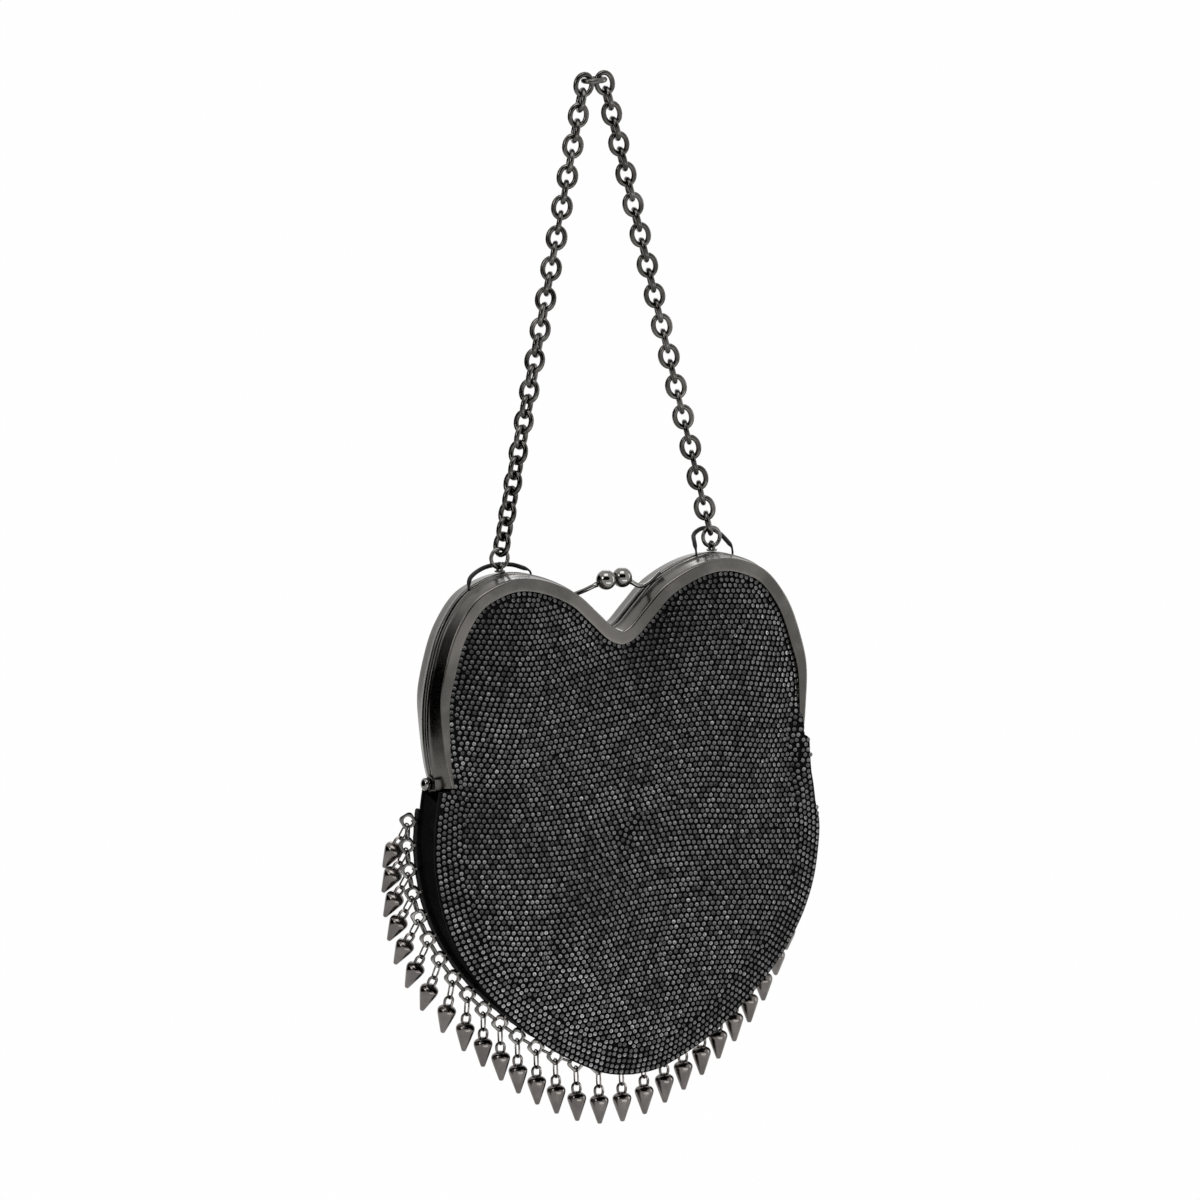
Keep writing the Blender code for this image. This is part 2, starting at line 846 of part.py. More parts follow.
def build_lining():
    """The fold of lining cloth that shows between the halves in the notch."""
    outline = mirrored(rim_half())
    normals = right_normals(outline)
    centre = len(outline) // 2
    half = lining_thickness / 2
    rings = []
    for i in range(centre - lining_half_steps, centre + lining_half_steps + 1):
        point = outline[i]
        inward = normals[i]
        ring = []
        for inside, y in (
            (lining_inset, -half), (lining_inset, half), (lining_depth, half), (lining_depth, -half),
        ):
            ring.append(point + inward * inside + y_axis * (parting_y + y))
        rings.append(ring)
    bm = bmesh.new()
    skin(bm, rings)
    add_object("notch_lining", bm, black_cloth)


def fringe_pitch():
    """Distance from spike to spike along the rear seam."""
    half = seam_half(rear_width_share, rear_depth_share)
    return path_length(half) * fringe_run_share / spikes_per_side


def fringe_places(pitch):
    """Seam point, star centre and hanging direction of each spike, left to right."""
    half = seam_half(rear_width_share, rear_depth_share)
    total = path_length(half)
    places = []
    for hand in (-1, 1):
        side_places = []
        for k in range(spikes_per_side):
            run = pitch * (k + 1 / 2)
            seam = walk(half, run / total)
            behind = walk(half, (run - pitch / 2) / total)
            ahead = walk(half, (run + pitch / 2) / total)
            tangent = (ahead - behind).normalized()
            outward = Vector((tangent.z, 0.0, -tangent.x))
            lean = smooth_share((tangent.z - lean_start_share) / lean_run_share)
            drop = Vector((lean_out * lean, lean_rear * lean, -1.0)).normalized()
            star = seam + outward * (star_offset_share * pitch)
            for vector in (seam, star, drop):
                vector.x = vector.x * hand
            seam.y = fringe_y
            star.y = fringe_y
            side_places.append((seam, star, drop))
        if hand < 0:
            side_places.reverse()
        places.extend(side_places)
    return places


def rim_middle(pitch):
    """Distance from a star's centre to the middle of its rim at a lobe."""
    return (star_lobe_share + star_hole_share) / 2 * pitch


def spike_mesh(pitch):
    """One cone spike with its loop and its hanging ring; the ring's pivot is the origin."""
    bm = bmesh.new()
    spike_length = spike_length_share * pitch
    spike_radius = spike_radius_share * pitch
    spike_loop_wire = spike_loop_wire_share * pitch
    fringe_wire = fringe_wire_share * pitch
    top = rim_middle(pitch) - loop_top_share * pitch
    loop_half = (spike_loop_width_share * pitch - spike_loop_wire) / 2
    arc_middle = top - spike_loop_wire / 2 - loop_half
    body_top = top - spike_loop_height_share * pitch
    foot = body_top - spike_length * spike_shares[1][0]
    path = [x_axis * loop_half + z_axis * foot]
    for k in range(spike_loop_steps + 1):
        angle = half_turn * k / spike_loop_steps
        sideways = x_axis * (math.cos(angle) * loop_half)
        path.append(sideways + z_axis * (arc_middle + math.sin(angle) * loop_half))
    path.append(z_axis * foot - x_axis * loop_half)
    even_tube(bm, path, spike_loop_wire / 2, spike_loop_sides, False, y_axis)
    item = add_object("spike_shape", bm, gunmetal)
    body = bmesh.new()
    profile = []
    for along, radius in spike_shares:
        profile.append((along * spike_length, radius * spike_radius))
    revolve(body, z_axis * body_top, -z_axis, profile, spike_sides)
    apply_boolean(item, add_object("spike_body", body, gunmetal), "UNION")
    ring = bmesh.new()
    ring_top = rim_middle(pitch) - (star_hole_share - fringe_seat_share) * pitch + fringe_wire
    ring_low = top - spike_loop_wire - fringe_wire + ring_bite_share * pitch
    middle = z_axis * ((ring_top + ring_low) / 2)
    oval_link(
        ring, middle, z_axis, x_axis, ring_top - ring_low, fringe_link_share * pitch,
        fringe_wire, fringe_arc_steps, fringe_sides,
    )
    apply_boolean(item, add_object("hanging_ring", ring, gunmetal), "UNION")
    dress_mesh(item, gunmetal)
    return item


def build_fringe():
    """The trim of four-lobed stars on its seam cord, and the hanging spikes."""
    pitch = fringe_pitch()
    bar_start = bar_start_share * pitch
    bar_radius = fringe_wire_share * pitch / 2
    shape = spike_mesh(pitch)
    stars = bmesh.new()
    bars = bmesh.new()
    for number, (seam, star, drop) in enumerate(fringe_places(pitch), start=1):
        down = Vector((drop.x, 0.0, drop.z)).normalized()
        add_star(stars, star, down, pitch)
        inward = (seam - star).normalized()
        cord = seam - inward * cord_offset
        even_tube(bars, [star + inward * bar_start, cord], bar_radius, fringe_sides, False, y_axis)
        side = (x_axis - drop * x_axis.dot(drop)).normalized()
        spike = bpy.data.objects.new("spike_%02d" % number, shape.data)
        bpy.context.scene.collection.objects.link(spike)
        turn = Matrix((side, side.cross(drop), drop * -1)).transposed().to_4x4()
        spike.matrix_world = Matrix.Translation(star + down * rim_middle(pitch)) @ turn
    bpy.data.objects.remove(shape, do_unlink=True)
    trim = add_object("fringe_trim", stars, gunmetal)
    apply_boolean(trim, add_object("bars", bars, gunmetal), "UNION")
    apply_boolean(trim, seam_cord(), "UNION")
    dress_mesh(trim, gunmetal)


def seam_cord():
    """The cord along the rear seam that carries the stars."""
    half = seam_half(rear_width_share, rear_depth_share)
    run = []
    for k in range(cord_stations + 1):
        run.append(walk(half, fringe_run_share * k / cord_stations))
    path = []
    for point, outward in zip(run, right_normals(run)):
        place = point + outward * cord_offset
        place.y = fringe_y
        path.append(place)
    path[0].x = 0.0
    bm = bmesh.new()
    even_tube(bm, mirrored(path), cord_radius, cord_sides, False, y_axis)
    return add_object("cord", bm, gunmetal)


def add_star(bm, centre, down, pitch):
    """Add one four-lobed connector plate with its square hole."""
    half = star_thickness_share * pitch / 2
    side = y_axis.cross(down)
    for height in (-half, half):
        outer = []
        inner = []
        for k in range(star_points):
            angle = full_turn * k / star_points
            out = side * math.cos(angle) + down * math.sin(angle)
            place = centre + y_axis * height
            radius = (star_lobe_share if k % 2 == 0 else star_waist_share) * pitch
            outer.append(bm.verts.new(place + out * radius))
            if k % 2 == 0:
                inner.append(bm.verts.new(place + out * (star_hole_share * pitch)))
        for k in range(star_points // 2):
            after = (k + 1) % (star_points // 2)
            tip = outer[2 * k]
            waist = outer[2 * k + 1]
            next_tip = outer[(2 * k + 2) % star_points]
            bm.faces.new((tip, waist, inner[k]))
            bm.faces.new((waist, inner[after], inner[k]))
            bm.faces.new((waist, next_tip, inner[after]))
        if height < 0:
            low = (outer, inner)
        else:
            high = (outer, inner)
    for below, above in zip(low, high):
        count = len(below)
        for k in range(count):
            after = (k + 1) % count
            bm.faces.new((below[k], below[after], above[after], above[k]))


def swing_axis():
    """Middle of the axis on which the bag swings under its handle."""
    return Vector((0.0, 0.0, ring_z - (ring_outer - ring_wire) / 2))


def frame_axis():
    """Middle of the axis on which the front half of the frame opens."""
    return Vector((0.0, parting_y, hinge_z))


def hold_on_axis(name, place, names):
    """Put an empty on a joint axis and hang the named pieces from it where they are."""
    holder = bpy.data.objects.new(name, None)
    bpy.context.scene.collection.objects.link(holder)
    holder.location = place
    for piece in names:
        item = bpy.data.objects[piece]
        item.parent = holder
        item.matrix_parent_inverse = Matrix.Translation(place).inverted()


def main():
    """Build every piece."""
    clear_scene()
    build_chain()
    build_lugs()
    frame_half("front_frame", -1, satin_metal)
    frame_half("rear_frame", 1, satin_metal)
    build_hinges()
    build_kiss_lock()
    build_strap_loops()
    build_panel("front_panel", -1, 1.0, 1.0)
    build_panel("rear_panel", 1, rear_width_share, rear_depth_share)
    build_gusset()
    build_lining()
    build_fringe()
    hold_on_axis("bag_swing_axis", swing_axis(), rear_pieces)
    hold_on_axis("frame_axis", frame_axis(), front_pieces)


main()
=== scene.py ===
"""Looks of a mini bag with a heart-shaped clasp frame, in metres, +Z up.

The origin is the middle of the top chain link. The front looks along -Y.
"""
import logging
import math
from contextlib import contextmanager
from dataclasses import dataclass
from enum import Enum
from typing import Callable, Iterator, Optional, Sequence

import bpy
import numpy as np
from mathutils import Matrix, Vector
from mathutils.bvhtree import BVHTree
from mathutils.kdtree import KDTree


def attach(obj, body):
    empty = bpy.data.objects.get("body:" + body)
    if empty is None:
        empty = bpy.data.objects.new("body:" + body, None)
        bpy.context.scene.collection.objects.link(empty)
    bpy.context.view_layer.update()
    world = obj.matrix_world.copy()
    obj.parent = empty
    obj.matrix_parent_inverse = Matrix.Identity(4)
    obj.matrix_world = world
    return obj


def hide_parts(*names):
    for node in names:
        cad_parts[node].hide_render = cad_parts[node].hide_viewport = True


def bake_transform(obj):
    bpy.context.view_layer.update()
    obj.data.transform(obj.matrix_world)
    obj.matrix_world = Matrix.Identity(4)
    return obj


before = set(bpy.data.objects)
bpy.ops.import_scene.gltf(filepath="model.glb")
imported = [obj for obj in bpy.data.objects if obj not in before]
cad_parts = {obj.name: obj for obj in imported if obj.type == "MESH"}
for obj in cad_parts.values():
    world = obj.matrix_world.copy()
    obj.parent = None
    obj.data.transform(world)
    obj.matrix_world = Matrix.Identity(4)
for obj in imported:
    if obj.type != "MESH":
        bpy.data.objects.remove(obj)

LOG = logging.getLogger("mini_bag")
X_AXIS = Vector((1.0, 0.0, 0.0))
Y_AXIS = Vector((0.0, 1.0, 0.0))
Z_AXIS = Vector((0.0, 0.0, 1.0))

Item = bpy.types.Object
Material = bpy.types.Material
Socket = bpy.types.NodeSocket
Tree = bpy.types.NodeTree

CHAIN = "chain"
REAR = "rear_half"
FRONT = "front_half"

SOFT_CREASE = 60.0  # degrees up to which wire and cloth are shaded smooth
END_REACH = 0.5  # length of a rounded rod end, as a share of the rod's radius
END_RADIUS = 0.6  # radius of a rounded rod end, as a share of the rod's radius


class Side(Enum):
    """Front or rear half of the bag, as the sign of its depth."""

    FRONT = -1
    REAR = 1

    @property
    def word(self) -> str:
        """Name part of a piece of this half."""
        return self.name.lower()


class Hand(Enum):
    """Left or right seen from the front, as the sign of X."""

    LEFT = -1
    RIGHT = 1

    @property
    def word(self) -> str:
        """Name part of a node on this side."""
        return self.name.lower()


# ---------- outlines ----------


@dataclass(frozen=True)
class Outline:
    """The sizes that the frame, the panels and the fringe share."""

    parting_y: float = -0.0025
    rim_half_width: float = 0.0800
    rim_height: float = 0.0785
    rim_top_z: float = -0.1827
    band_wide: float = 0.0060
    band_narrow: float = 0.0026
    leg_taper: float = 0.0016
    taper_from: float = 0.50
    taper_run: float = 0.30
    narrow_from: float = 0.45
    narrow_run: float = 0.55
    lip_gap: float = 0.0014
    half_depth: float = 0.0090
    sheet: float = 0.0008
    lip_height: float = 0.0022
    wall_recess: float = 0.0004
    wall_draft: float = 0.0006
    corner_round: float = 0.0009
    seam_half_width: float = 0.0818
    seam_depth: float = 0.1118
    seam_top_z: float = -0.2637
    rear_width: float = 0.970
    rear_depth: float = 0.951
    rim_shares: tuple = (
        (0.0, 0.306), (0.0425, 0.281), (0.1175, 0.2055), (0.231, 0.102),
        (0.394, 0.025), (0.55, 0.0), (0.694, 0.0353), (0.80, 0.102),
        (0.894, 0.2346), (0.95, 0.382), (0.99, 0.5586), (0.999, 0.735),
        (0.985, 0.8865), (0.961, 1.0),
    )
    seam_shares: tuple = (
        (0.0, 1.0), (0.131, 0.9894), (0.269, 0.949), (0.403, 0.896), (0.507, 0.8414),
        (0.636, 0.762), (0.770, 0.6608), (0.856, 0.5727), (0.923, 0.480), (0.972, 0.370),
        (1.0, 0.220), (0.990, 0.0925), (0.966, 0.0),
    )

    def rim_half(self, step: float) -> list[Vector]:
        """Half of the frame outline, from the notch to the leg end.

        Args:
            step: Largest distance between two points.

        Returns:
            The points, in the plane y = 0.
        """
        points = [
            Vector((x * self.rim_half_width, 0.0, self.rim_top_z - z * self.rim_height))
            for x, z in self.rim_shares
        ]
        return spline(points, step)

    def seam_half(self, width: float, depth: float, step: float) -> list[Vector]:
        """Half of the pouch seam, from the lowest point to the leg end.

        Args:
            width: Share of the front seam's width.
            depth: Share of the front seam's depth.
            step: Largest distance between two points.

        Returns:
            The points, in the plane y = 0.
        """
        points = [
            Vector((
                x * self.seam_half_width * width, 0.0,
                self.seam_top_z - z * self.seam_depth * depth,
            ))
            for x, z in self.seam_shares
        ]
        return spline(points, step)

    def depth_share(self, point: Vector) -> float:
        """How far down the frame a point of the outline lies, from 0 to 1."""
        return (self.rim_top_z - point.z) / self.rim_height

    def face_inset(self, point: Vector) -> float:
        """How far the face of the frame lies inside the lip."""
        return self.leg_taper * ease((self.depth_share(point) - self.taper_from) / self.taper_run)

    def band_width(self, point: Vector) -> float:
        """Width of the face band at a point of the outline."""
        share = (self.depth_share(point) - self.narrow_from) / self.narrow_run
        return self.band_wide + (self.band_narrow - self.band_wide) * min(max(share, 0.0), 1.0)


OUTLINE = Outline()


def ease(value: float) -> float:
    """Smooth step of a share from zero to one."""
    value = min(max(value, 0.0), 1.0)
    return value * value * (3 - 2 * value)


def spline(points: Sequence[Vector], step: float) -> list[Vector]:
    """Smooth curve through the points.

    Args:
        points: Points to pass through.
        step: Largest distance between two points of the result.

    Returns:
        The points of the curve.
    """
    result = []
    count = len(points)
    for i in range(count - 1):
        before, start = points[max(i - 1, 0)], points[i]
        end, after = points[i + 1], points[min(i + 2, count - 1)]
        pieces = max(1, math.ceil((end - start).length / step))
        for k in range(pieces):
            t = k / pieces
            bend_start = (end - before) / 2 - (end - start)
            bend_end = (after - start) / 2 - (end - start)
            bend = bend_start * (t * (1 - t) ** 2) - bend_end * (t * t * (1 - t))
            result.append(start.lerp(end, t) + bend)
    result.append(points[-1].copy())
    return result


def mirrored(half: Sequence[Vector]) -> list[Vector]:
    """Full outline from left to right out of a half that starts in the middle."""
    return [Vector((-p.x, p.y, p.z)) for p in reversed(half)] + [p.copy() for p in half[1:]]


def lengths_of(points: Sequence[Vector]) -> list[float]:
    """Measure a path.

    Args:
        points: The path.

    Returns:
        The distance from its start to each of its points.
    """
    result = [0.0]
    for start, end in zip(points, points[1:]):
        result.append(result[-1] + (end - start).length)
    return result


def walk(points: Sequence[Vector], share: float) -> Vector:
    """Find a place on a path.

    Args:
        points: The path.
        share: How far along its length, from 0 to 1.

    Returns:
        The place.
    """
    lengths = lengths_of(points)
    target = min(max(share, 0.0), 1.0) * lengths[-1]
    for i in range(len(points) - 1):
        if target <= lengths[i + 1]:
            run = lengths[i + 1] - lengths[i]
            return points[i].lerp(points[i + 1], (target - lengths[i]) / run)
    return points[-1].copy()


def right_normals(points: Sequence[Vector]) -> list[Vector]:
    """Find the directions to the right of a path, in the XZ plane.

    Args:
        points: The path.

    Returns:
        One direction of length one for each point.
    """
    result = []
    last = len(points) - 1
    for i in range(len(points)):
        ahead = (points[min(i + 1, last)] - points[max(i - 1, 0)]).normalized()
        result.append(Vector((ahead.z, 0.0, -ahead.x)))
    return result


# ---------- mesh tools ----------


def deselect() -> None:
    """Leave edit mode and clear the selection."""
    if bpy.context.object and bpy.context.object.mode != "OBJECT":
        bpy.ops.object.mode_set(mode="OBJECT")
    bpy.ops.object.select_all(action="DESELECT")


def activate(item: Item) -> None:
    """Make one object the only selected and active one."""
    deselect()
    item.select_set(True)
    bpy.context.view_layer.objects.active = item


@contextmanager
def edit_mode(item: Item, everything: bool = True) -> Iterator[None]:
    """Edit mode on one piece.

    Args:
        item: The piece.
        everything: Whether all of it is selected first.

    Returns:
        The context in which the piece is edited.
    """
    activate(item)
    bpy.ops.object.mode_set(mode="EDIT")
    if everything:
        bpy.ops.mesh.select_all(action="SELECT")
    yield
    bpy.ops.object.mode_set(mode="OBJECT")


def settle(item: Item, name: str) -> Item:
    """Name a piece and put its place into its mesh.

    Args:
        item: The piece.
        name: Its name from here on.

    Returns:
        The same piece.
    """
    activate(item)
    bpy.ops.object.transform_apply(location=True, rotation=True, scale=True)
    item.name = name
    item.data.name = name
    return item


def smooth(item: Item, angle: float = 40.0) -> None:
    """Shade a piece smooth, with creases over an angle in degrees."""
    activate(item)
    bpy.ops.object.shade_smooth_by_angle(angle=math.radians(angle))


def recalculate(item: Item, merge: float = 1e-6) -> None:
    """Merge doubles, close what is open and turn the faces outwards.

    Args:
        item: The piece.
        merge: Distance up to which two points become one.
    """
    with edit_mode(item):
        bpy.ops.mesh.remove_doubles(threshold=merge)
        bpy.ops.mesh.fill_holes(sides=0)
        bpy.ops.mesh.select_all(action="SELECT")
        bpy.ops.mesh.normals_make_consistent(inside=False)


def solidify(item: Item, thickness: float) -> None:
    """Give a surface its thickness, half of it to each side.

    Args:
        item: The surface.
        thickness: How thick it becomes.
    """
    activate(item)
    solid = item.modifiers.new("thickness", "SOLIDIFY")
    solid.thickness = thickness
    solid.offset = 0.0
    bpy.ops.object.modifier_apply(modifier=solid.name)


def make_cloth(item: Item, thickness: float) -> None:
    """Make a surface a closed, softly shaded sheet of cloth.

    Args:
        item: The surface.
        thickness: Thickness of the cloth.
    """
    solidify(item, thickness)
    recalculate(item, 1e-7)
    smooth(item, SOFT_CREASE)


def chamfer(item: Item, width: float) -> None:
    """Cut all edges of a piece back by a small width."""
    with edit_mode(item):
        bpy.ops.mesh.bevel(offset=width, segments=2)


def block(name: str, size: tuple, place: tuple, edge: float) -> Item:
    """Make a box with chamfered edges.

    Args:
        name: Name of the piece.
        size: Lengths along X, Y and Z.
        place: Its middle.
        edge: Width of the chamfer.

    Returns:
        The new object.
    """
    deselect()
    bpy.ops.mesh.primitive_cube_add(size=1.0)
    item = bpy.context.object
    item.scale = size
    item.location = place
    settle(item, name)
    chamfer(item, edge)
    return item


def shaped_grid(
    name: str, columns: int, rows: int, place: Callable[[int, int], Vector],
    closed: bool = True, zone: Optional[Callable[[int], int]] = None,
) -> Item:
    """Shape a grid primitive into a swept piece.

    Args:
        name: Name of the piece.
        columns: Number of cells along the sweep.
        rows: Number of cells across it.
        place: Gives the place of the grid point (column, row).
        closed: Whether the piece is merged along its seam and capped.
        zone: Gives the material number of a row of cells.

    Returns:
        The new object, with a UV map in metres along and across.
    """
    deselect()
    bpy.ops.mesh.primitive_grid_add(x_subdivisions=columns, y_subdivisions=rows, size=1.0)
    item = bpy.context.object
    mesh = item.data
    column_of = [round((v.co.x + 0.5) * columns) for v in mesh.vertices]
    row_of = [round((v.co.y + 0.5) * rows) for v in mesh.vertices]
    table = {key: place(*key) for key in set(zip(column_of, row_of))}
    run = [0.0]
    for i in range(columns):
        run.append(run[-1] + (table[(i + 1, 0)] - table[(i, 0)]).length)
    rise = [0.0]
    middle = columns // 2
    for j in range(rows):
        rise.append(rise[-1] + (table[(middle, j + 1)] - table[(middle, j)]).length)
    layer = mesh.uv_layers.active or mesh.uv_layers.new(name="UVMap")
    for face in mesh.polygons:
        if zone is not None:
            face.material_index = zone(min(row_of[v] for v in face.vertices))
        for loop, vertex in zip(face.loop_indices, face.vertices):
            layer.data[loop].uv = (run[column_of[vertex]], rise[row_of[vertex]])
    for i, vertex in enumerate(mesh.vertices):
        vertex.co = table[(column_of[i], row_of[i])]
    settle(item, name)
    if closed:
        recalculate(item)
    return item


def rod(
    name: str, points: Sequence[Vector], radii: Sequence[float], sides: int = 12,
    round_ends: bool = False,
) -> Item:
    """Sweep a round section along a path.

    Args:
        name: Name of the piece.
        points: Middle line.
        radii: Radius at each point.
        sides: Number of cells round the section.
        round_ends: Whether the ends taper to a small round.

    Returns:
        The new object.
    """
    points = [p.copy() for p in points]
    radii = list(radii)
    if round_ends:
        first = (points[0] - points[1]).normalized()
        last = (points[-1] - points[-2]).normalized()
        start = points[0] + first * radii[0] * END_REACH
        end = points[-1] + last * radii[-1] * END_REACH
        points = [start] + points + [end]
        radii = [radii[0] * END_RADIUS] + radii + [radii[-1] * END_RADIUS]
    rings = []
    side = None
    last_point = len(points) - 1
    for i, point in enumerate(points):
        ahead = (points[min(i + 1, last_point)] - points[max(i - 1, 0)]).normalized()
        side = ahead.orthogonal() if side is None else side
        side = (side - ahead * side.dot(ahead)).normalized()
        rings.append((point, side.copy(), ahead.cross(side), radii[i]))

    def place(i: int, j: int) -> Vector:
        """Place of one point of the rod's grid."""
        centre, across, other, radius = rings[i]
        angle = math.tau * (j % sides) / sides
        return centre + (across * math.cos(angle) + other * math.sin(angle)) * radius

    item = shaped_grid(name, len(points) - 1, sides, place)
    smooth(item)
    return item


def oval(
    name: str, length: float, width: float, wire: float, turns: int = 24, sides: int = 10,
    roundness: float = 0.0,
) -> Item:
    """Stretch a torus into an oval link that lies in the XZ plane, long along Z.

    Args:
        name: Name of the new piece.
        length: Outer length.
        width: Outer width.
        wire: Thickness of the wire.
        turns: Segments round the link.
        sides: Segments round the wire.
        roundness: Share of the stretch that makes an ellipse; the rest gives straight sides.

    Returns:
        The link at the origin.
    """
    deselect()
    bpy.ops.mesh.primitive_torus_add(
        major_segments=turns, minor_segments=sides,
        major_radius=(width - wire) / 2, minor_radius=wire / 2,
        rotation=(math.radians(90.0), 0.0, 0.0),
    )
    item = settle(bpy.context.object, name)
    straight = (length - width) / 2 * (1 - roundness)
    for sign in (-1, 1):
        for vertex in item.data.vertices:
            vertex.select = vertex.co.z * sign > 1e-6
        for part in (*item.data.edges, *item.data.polygons):
            part.select = all(item.data.vertices[v].select for v in part.vertices)
        with edit_mode(item, everything=False):
            bpy.ops.transform.translate(value=(0.0, 0.0, sign * straight))
    for vertex in item.data.vertices:
        away = math.hypot(vertex.co.x, vertex.co.z)
        vertex.co.z += (length - width) / 2 * roundness * vertex.co.z / away
    smooth(item, SOFT_CREASE)
    return item


def spun(name: str, profile: Sequence[tuple], steps: int = 24) -> Item:
    """Spin a profile round the Z axis into a closed piece.

    Args:
        name: Name of the piece.
        profile: Pairs of height and radius.
        steps: Number of cells round the axis.

    Returns:
        The new object.
    """
    mesh = bpy.data.meshes.new(name)
    points = [(radius, 0.0, height) for height, radius in profile]
    mesh.from_pydata(points, [(i, i + 1) for i in range(len(points) - 1)], [])
    item = bpy.data.objects.new(name, mesh)
    bpy.context.scene.collection.objects.link(item)
    with edit_mode(item):
        bpy.ops.mesh.spin(
            steps=steps, angle=math.tau, center=(0.0, 0.0, 0.0), axis=(0.0, 0.0, 1.0),
        )
    recalculate(item, 1e-5)
    smooth(item)
    return item


def arrays_of(mesh: bpy.types.Mesh) -> tuple:
    """Read a mesh into arrays.

    Args:
        mesh: The mesh.

    Returns:
        Its points, the point of each face corner, and the number of corners of each face.
    """
    points = np.empty(len(mesh.vertices) * 3)
    mesh.vertices.foreach_get("co", points)
    corners = np.empty(len(mesh.loops), dtype=np.int64)
    mesh.loops.foreach_get("vertex_index", corners)
    sizes = np.empty(len(mesh.polygons), dtype=np.int64)
    mesh.polygons.foreach_get("loop_total", sizes)
    return points.reshape(-1, 3), corners, sizes


def copies(
    pattern: Item, matrices: Sequence[Matrix], name: str,
    tones: Optional[Sequence[float]] = None, angle: float = 40.0,
    painted_shades: Optional[Sequence[float]] = None,
) -> Item:
    """Copy one modelled shape to many places, as one piece.

    Args:
        pattern: The shape, modelled once at the origin.
        matrices: Place of each copy.
        name: Name of the piece.
        tones: A value from 0 to 1 for each copy, kept as the attribute tone.
        angle: Crease angle in degrees.
        painted_shades: A value from 0 to 1 for each point of the shape, how much painted shade it
            gets, kept as the attribute hollow.

    Returns:
        The new object.
    """
    points, corners, sizes = arrays_of(pattern.data)
    count = len(matrices)
    turns = np.array([[list(row) for row in m] for m in matrices])
    placed = np.einsum("nij,vj->nvi", turns[:, :3, :3], points) + turns[:, None, :3, 3]
    all_corners = (corners[None, :] + np.arange(count)[:, None] * len(points)).ravel()
    all_sizes = np.tile(sizes, count)
    starts = np.concatenate(([0], np.cumsum(all_sizes)[:-1]))
    mesh = bpy.data.meshes.new(name)
    mesh.vertices.add(count * len(points))
    mesh.vertices.foreach_set("co", placed.ravel())
    mesh.loops.add(len(all_corners))
    mesh.loops.foreach_set("vertex_index", all_corners)
    mesh.polygons.add(len(all_sizes))
    mesh.polygons.foreach_set("loop_start", starts)
    mesh.update(calc_edges=True)
    mesh.validate()
    if tones is not None:
        layer = mesh.attributes.new("tone", "FLOAT", "POINT")
        layer.data.foreach_set("value", np.repeat(np.array(tones, dtype=float), len(points)))
    # The attribute hollow carries the painted shade of the studs.
    if painted_shades is not None:
        layer = mesh.attributes.new("hollow", "FLOAT", "POINT")
        layer.data.foreach_set("value", np.tile(np.array(painted_shades, dtype=float), count))
    item = bpy.data.objects.new(name, mesh)
    bpy.context.scene.collection.objects.link(item)
    smooth(item, angle)
    return item


def spread(
    pattern: Item, matrices: Sequence[Matrix], name: str, angle: float = 40.0,
) -> Item:
    """Copy one modelled shape to its places, and take the pattern out of the scene.

    Args:
        pattern: The shape, modelled once at the origin.
        matrices: Place of each copy.
        name: Name of the piece.
        angle: Crease angle in degrees.

    Returns:
        The new object.
    """
    piece = copies(pattern, matrices, name, angle=angle)
    remove(pattern)
    return piece


def remove(item: Item) -> None:
    """Take a pattern shape out of the scene."""
    bpy.data.objects.remove(item, do_unlink=True)


def joined(name: str, items: Sequence[Item]) -> Item:
    """Join several shapes into one piece.

    Args:
        name: Name of the piece.
        items: The shapes.

    Returns:
        The joined object, which is the first of the shapes.
    """
    activate(items[0])
    for item in items:
        item.select_set(True)
    bpy.ops.object.join()
    return settle(items[0], name)


def along(direction: Vector, up: Vector, place: Vector) -> Matrix:
    """Turn Z along a direction and Y near another, then move to a place.

    Args:
        direction: Where Z points.
        up: Where Y points as nearly as it can.
        place: Where the origin goes.

    Returns:
        The matrix.
    """
    z = direction.normalized()
    y = (up - z * up.dot(z)).normalized()
    x = y.cross(z)
    return Matrix.Translation(place) @ Matrix((x, y, z)).transposed().to_4x4()


def put(item: Item, materials: Sequence[Material]) -> None:
    """Give a piece its materials.

    Args:
        item: The piece.
        materials: Its materials, in the order of its material numbers.
    """
    item.data.materials.clear()
    for material in materials:
        item.data.materials.append(material)


def report(item: Item) -> None:
    """Log the size of one finished piece."""
    LOG.info("%s: %d faces", item.name, len(item.data.polygons))


def dress(
    item: Item, materials: Sequence[Material], body: str,
    node: str = "",
) -> None:
    """Finish one rigid piece and tie it to the CAD model.

    Args:
        item: The piece.
        materials: Its materials, in the order of its material numbers.
        body: Body that it moves with.
        node: CAD node that it stands for, if there is one.
    """
    put(item, materials)
    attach(item, body)
    if node:
        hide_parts(node)
    report(item)


# ---------- finishes ----------


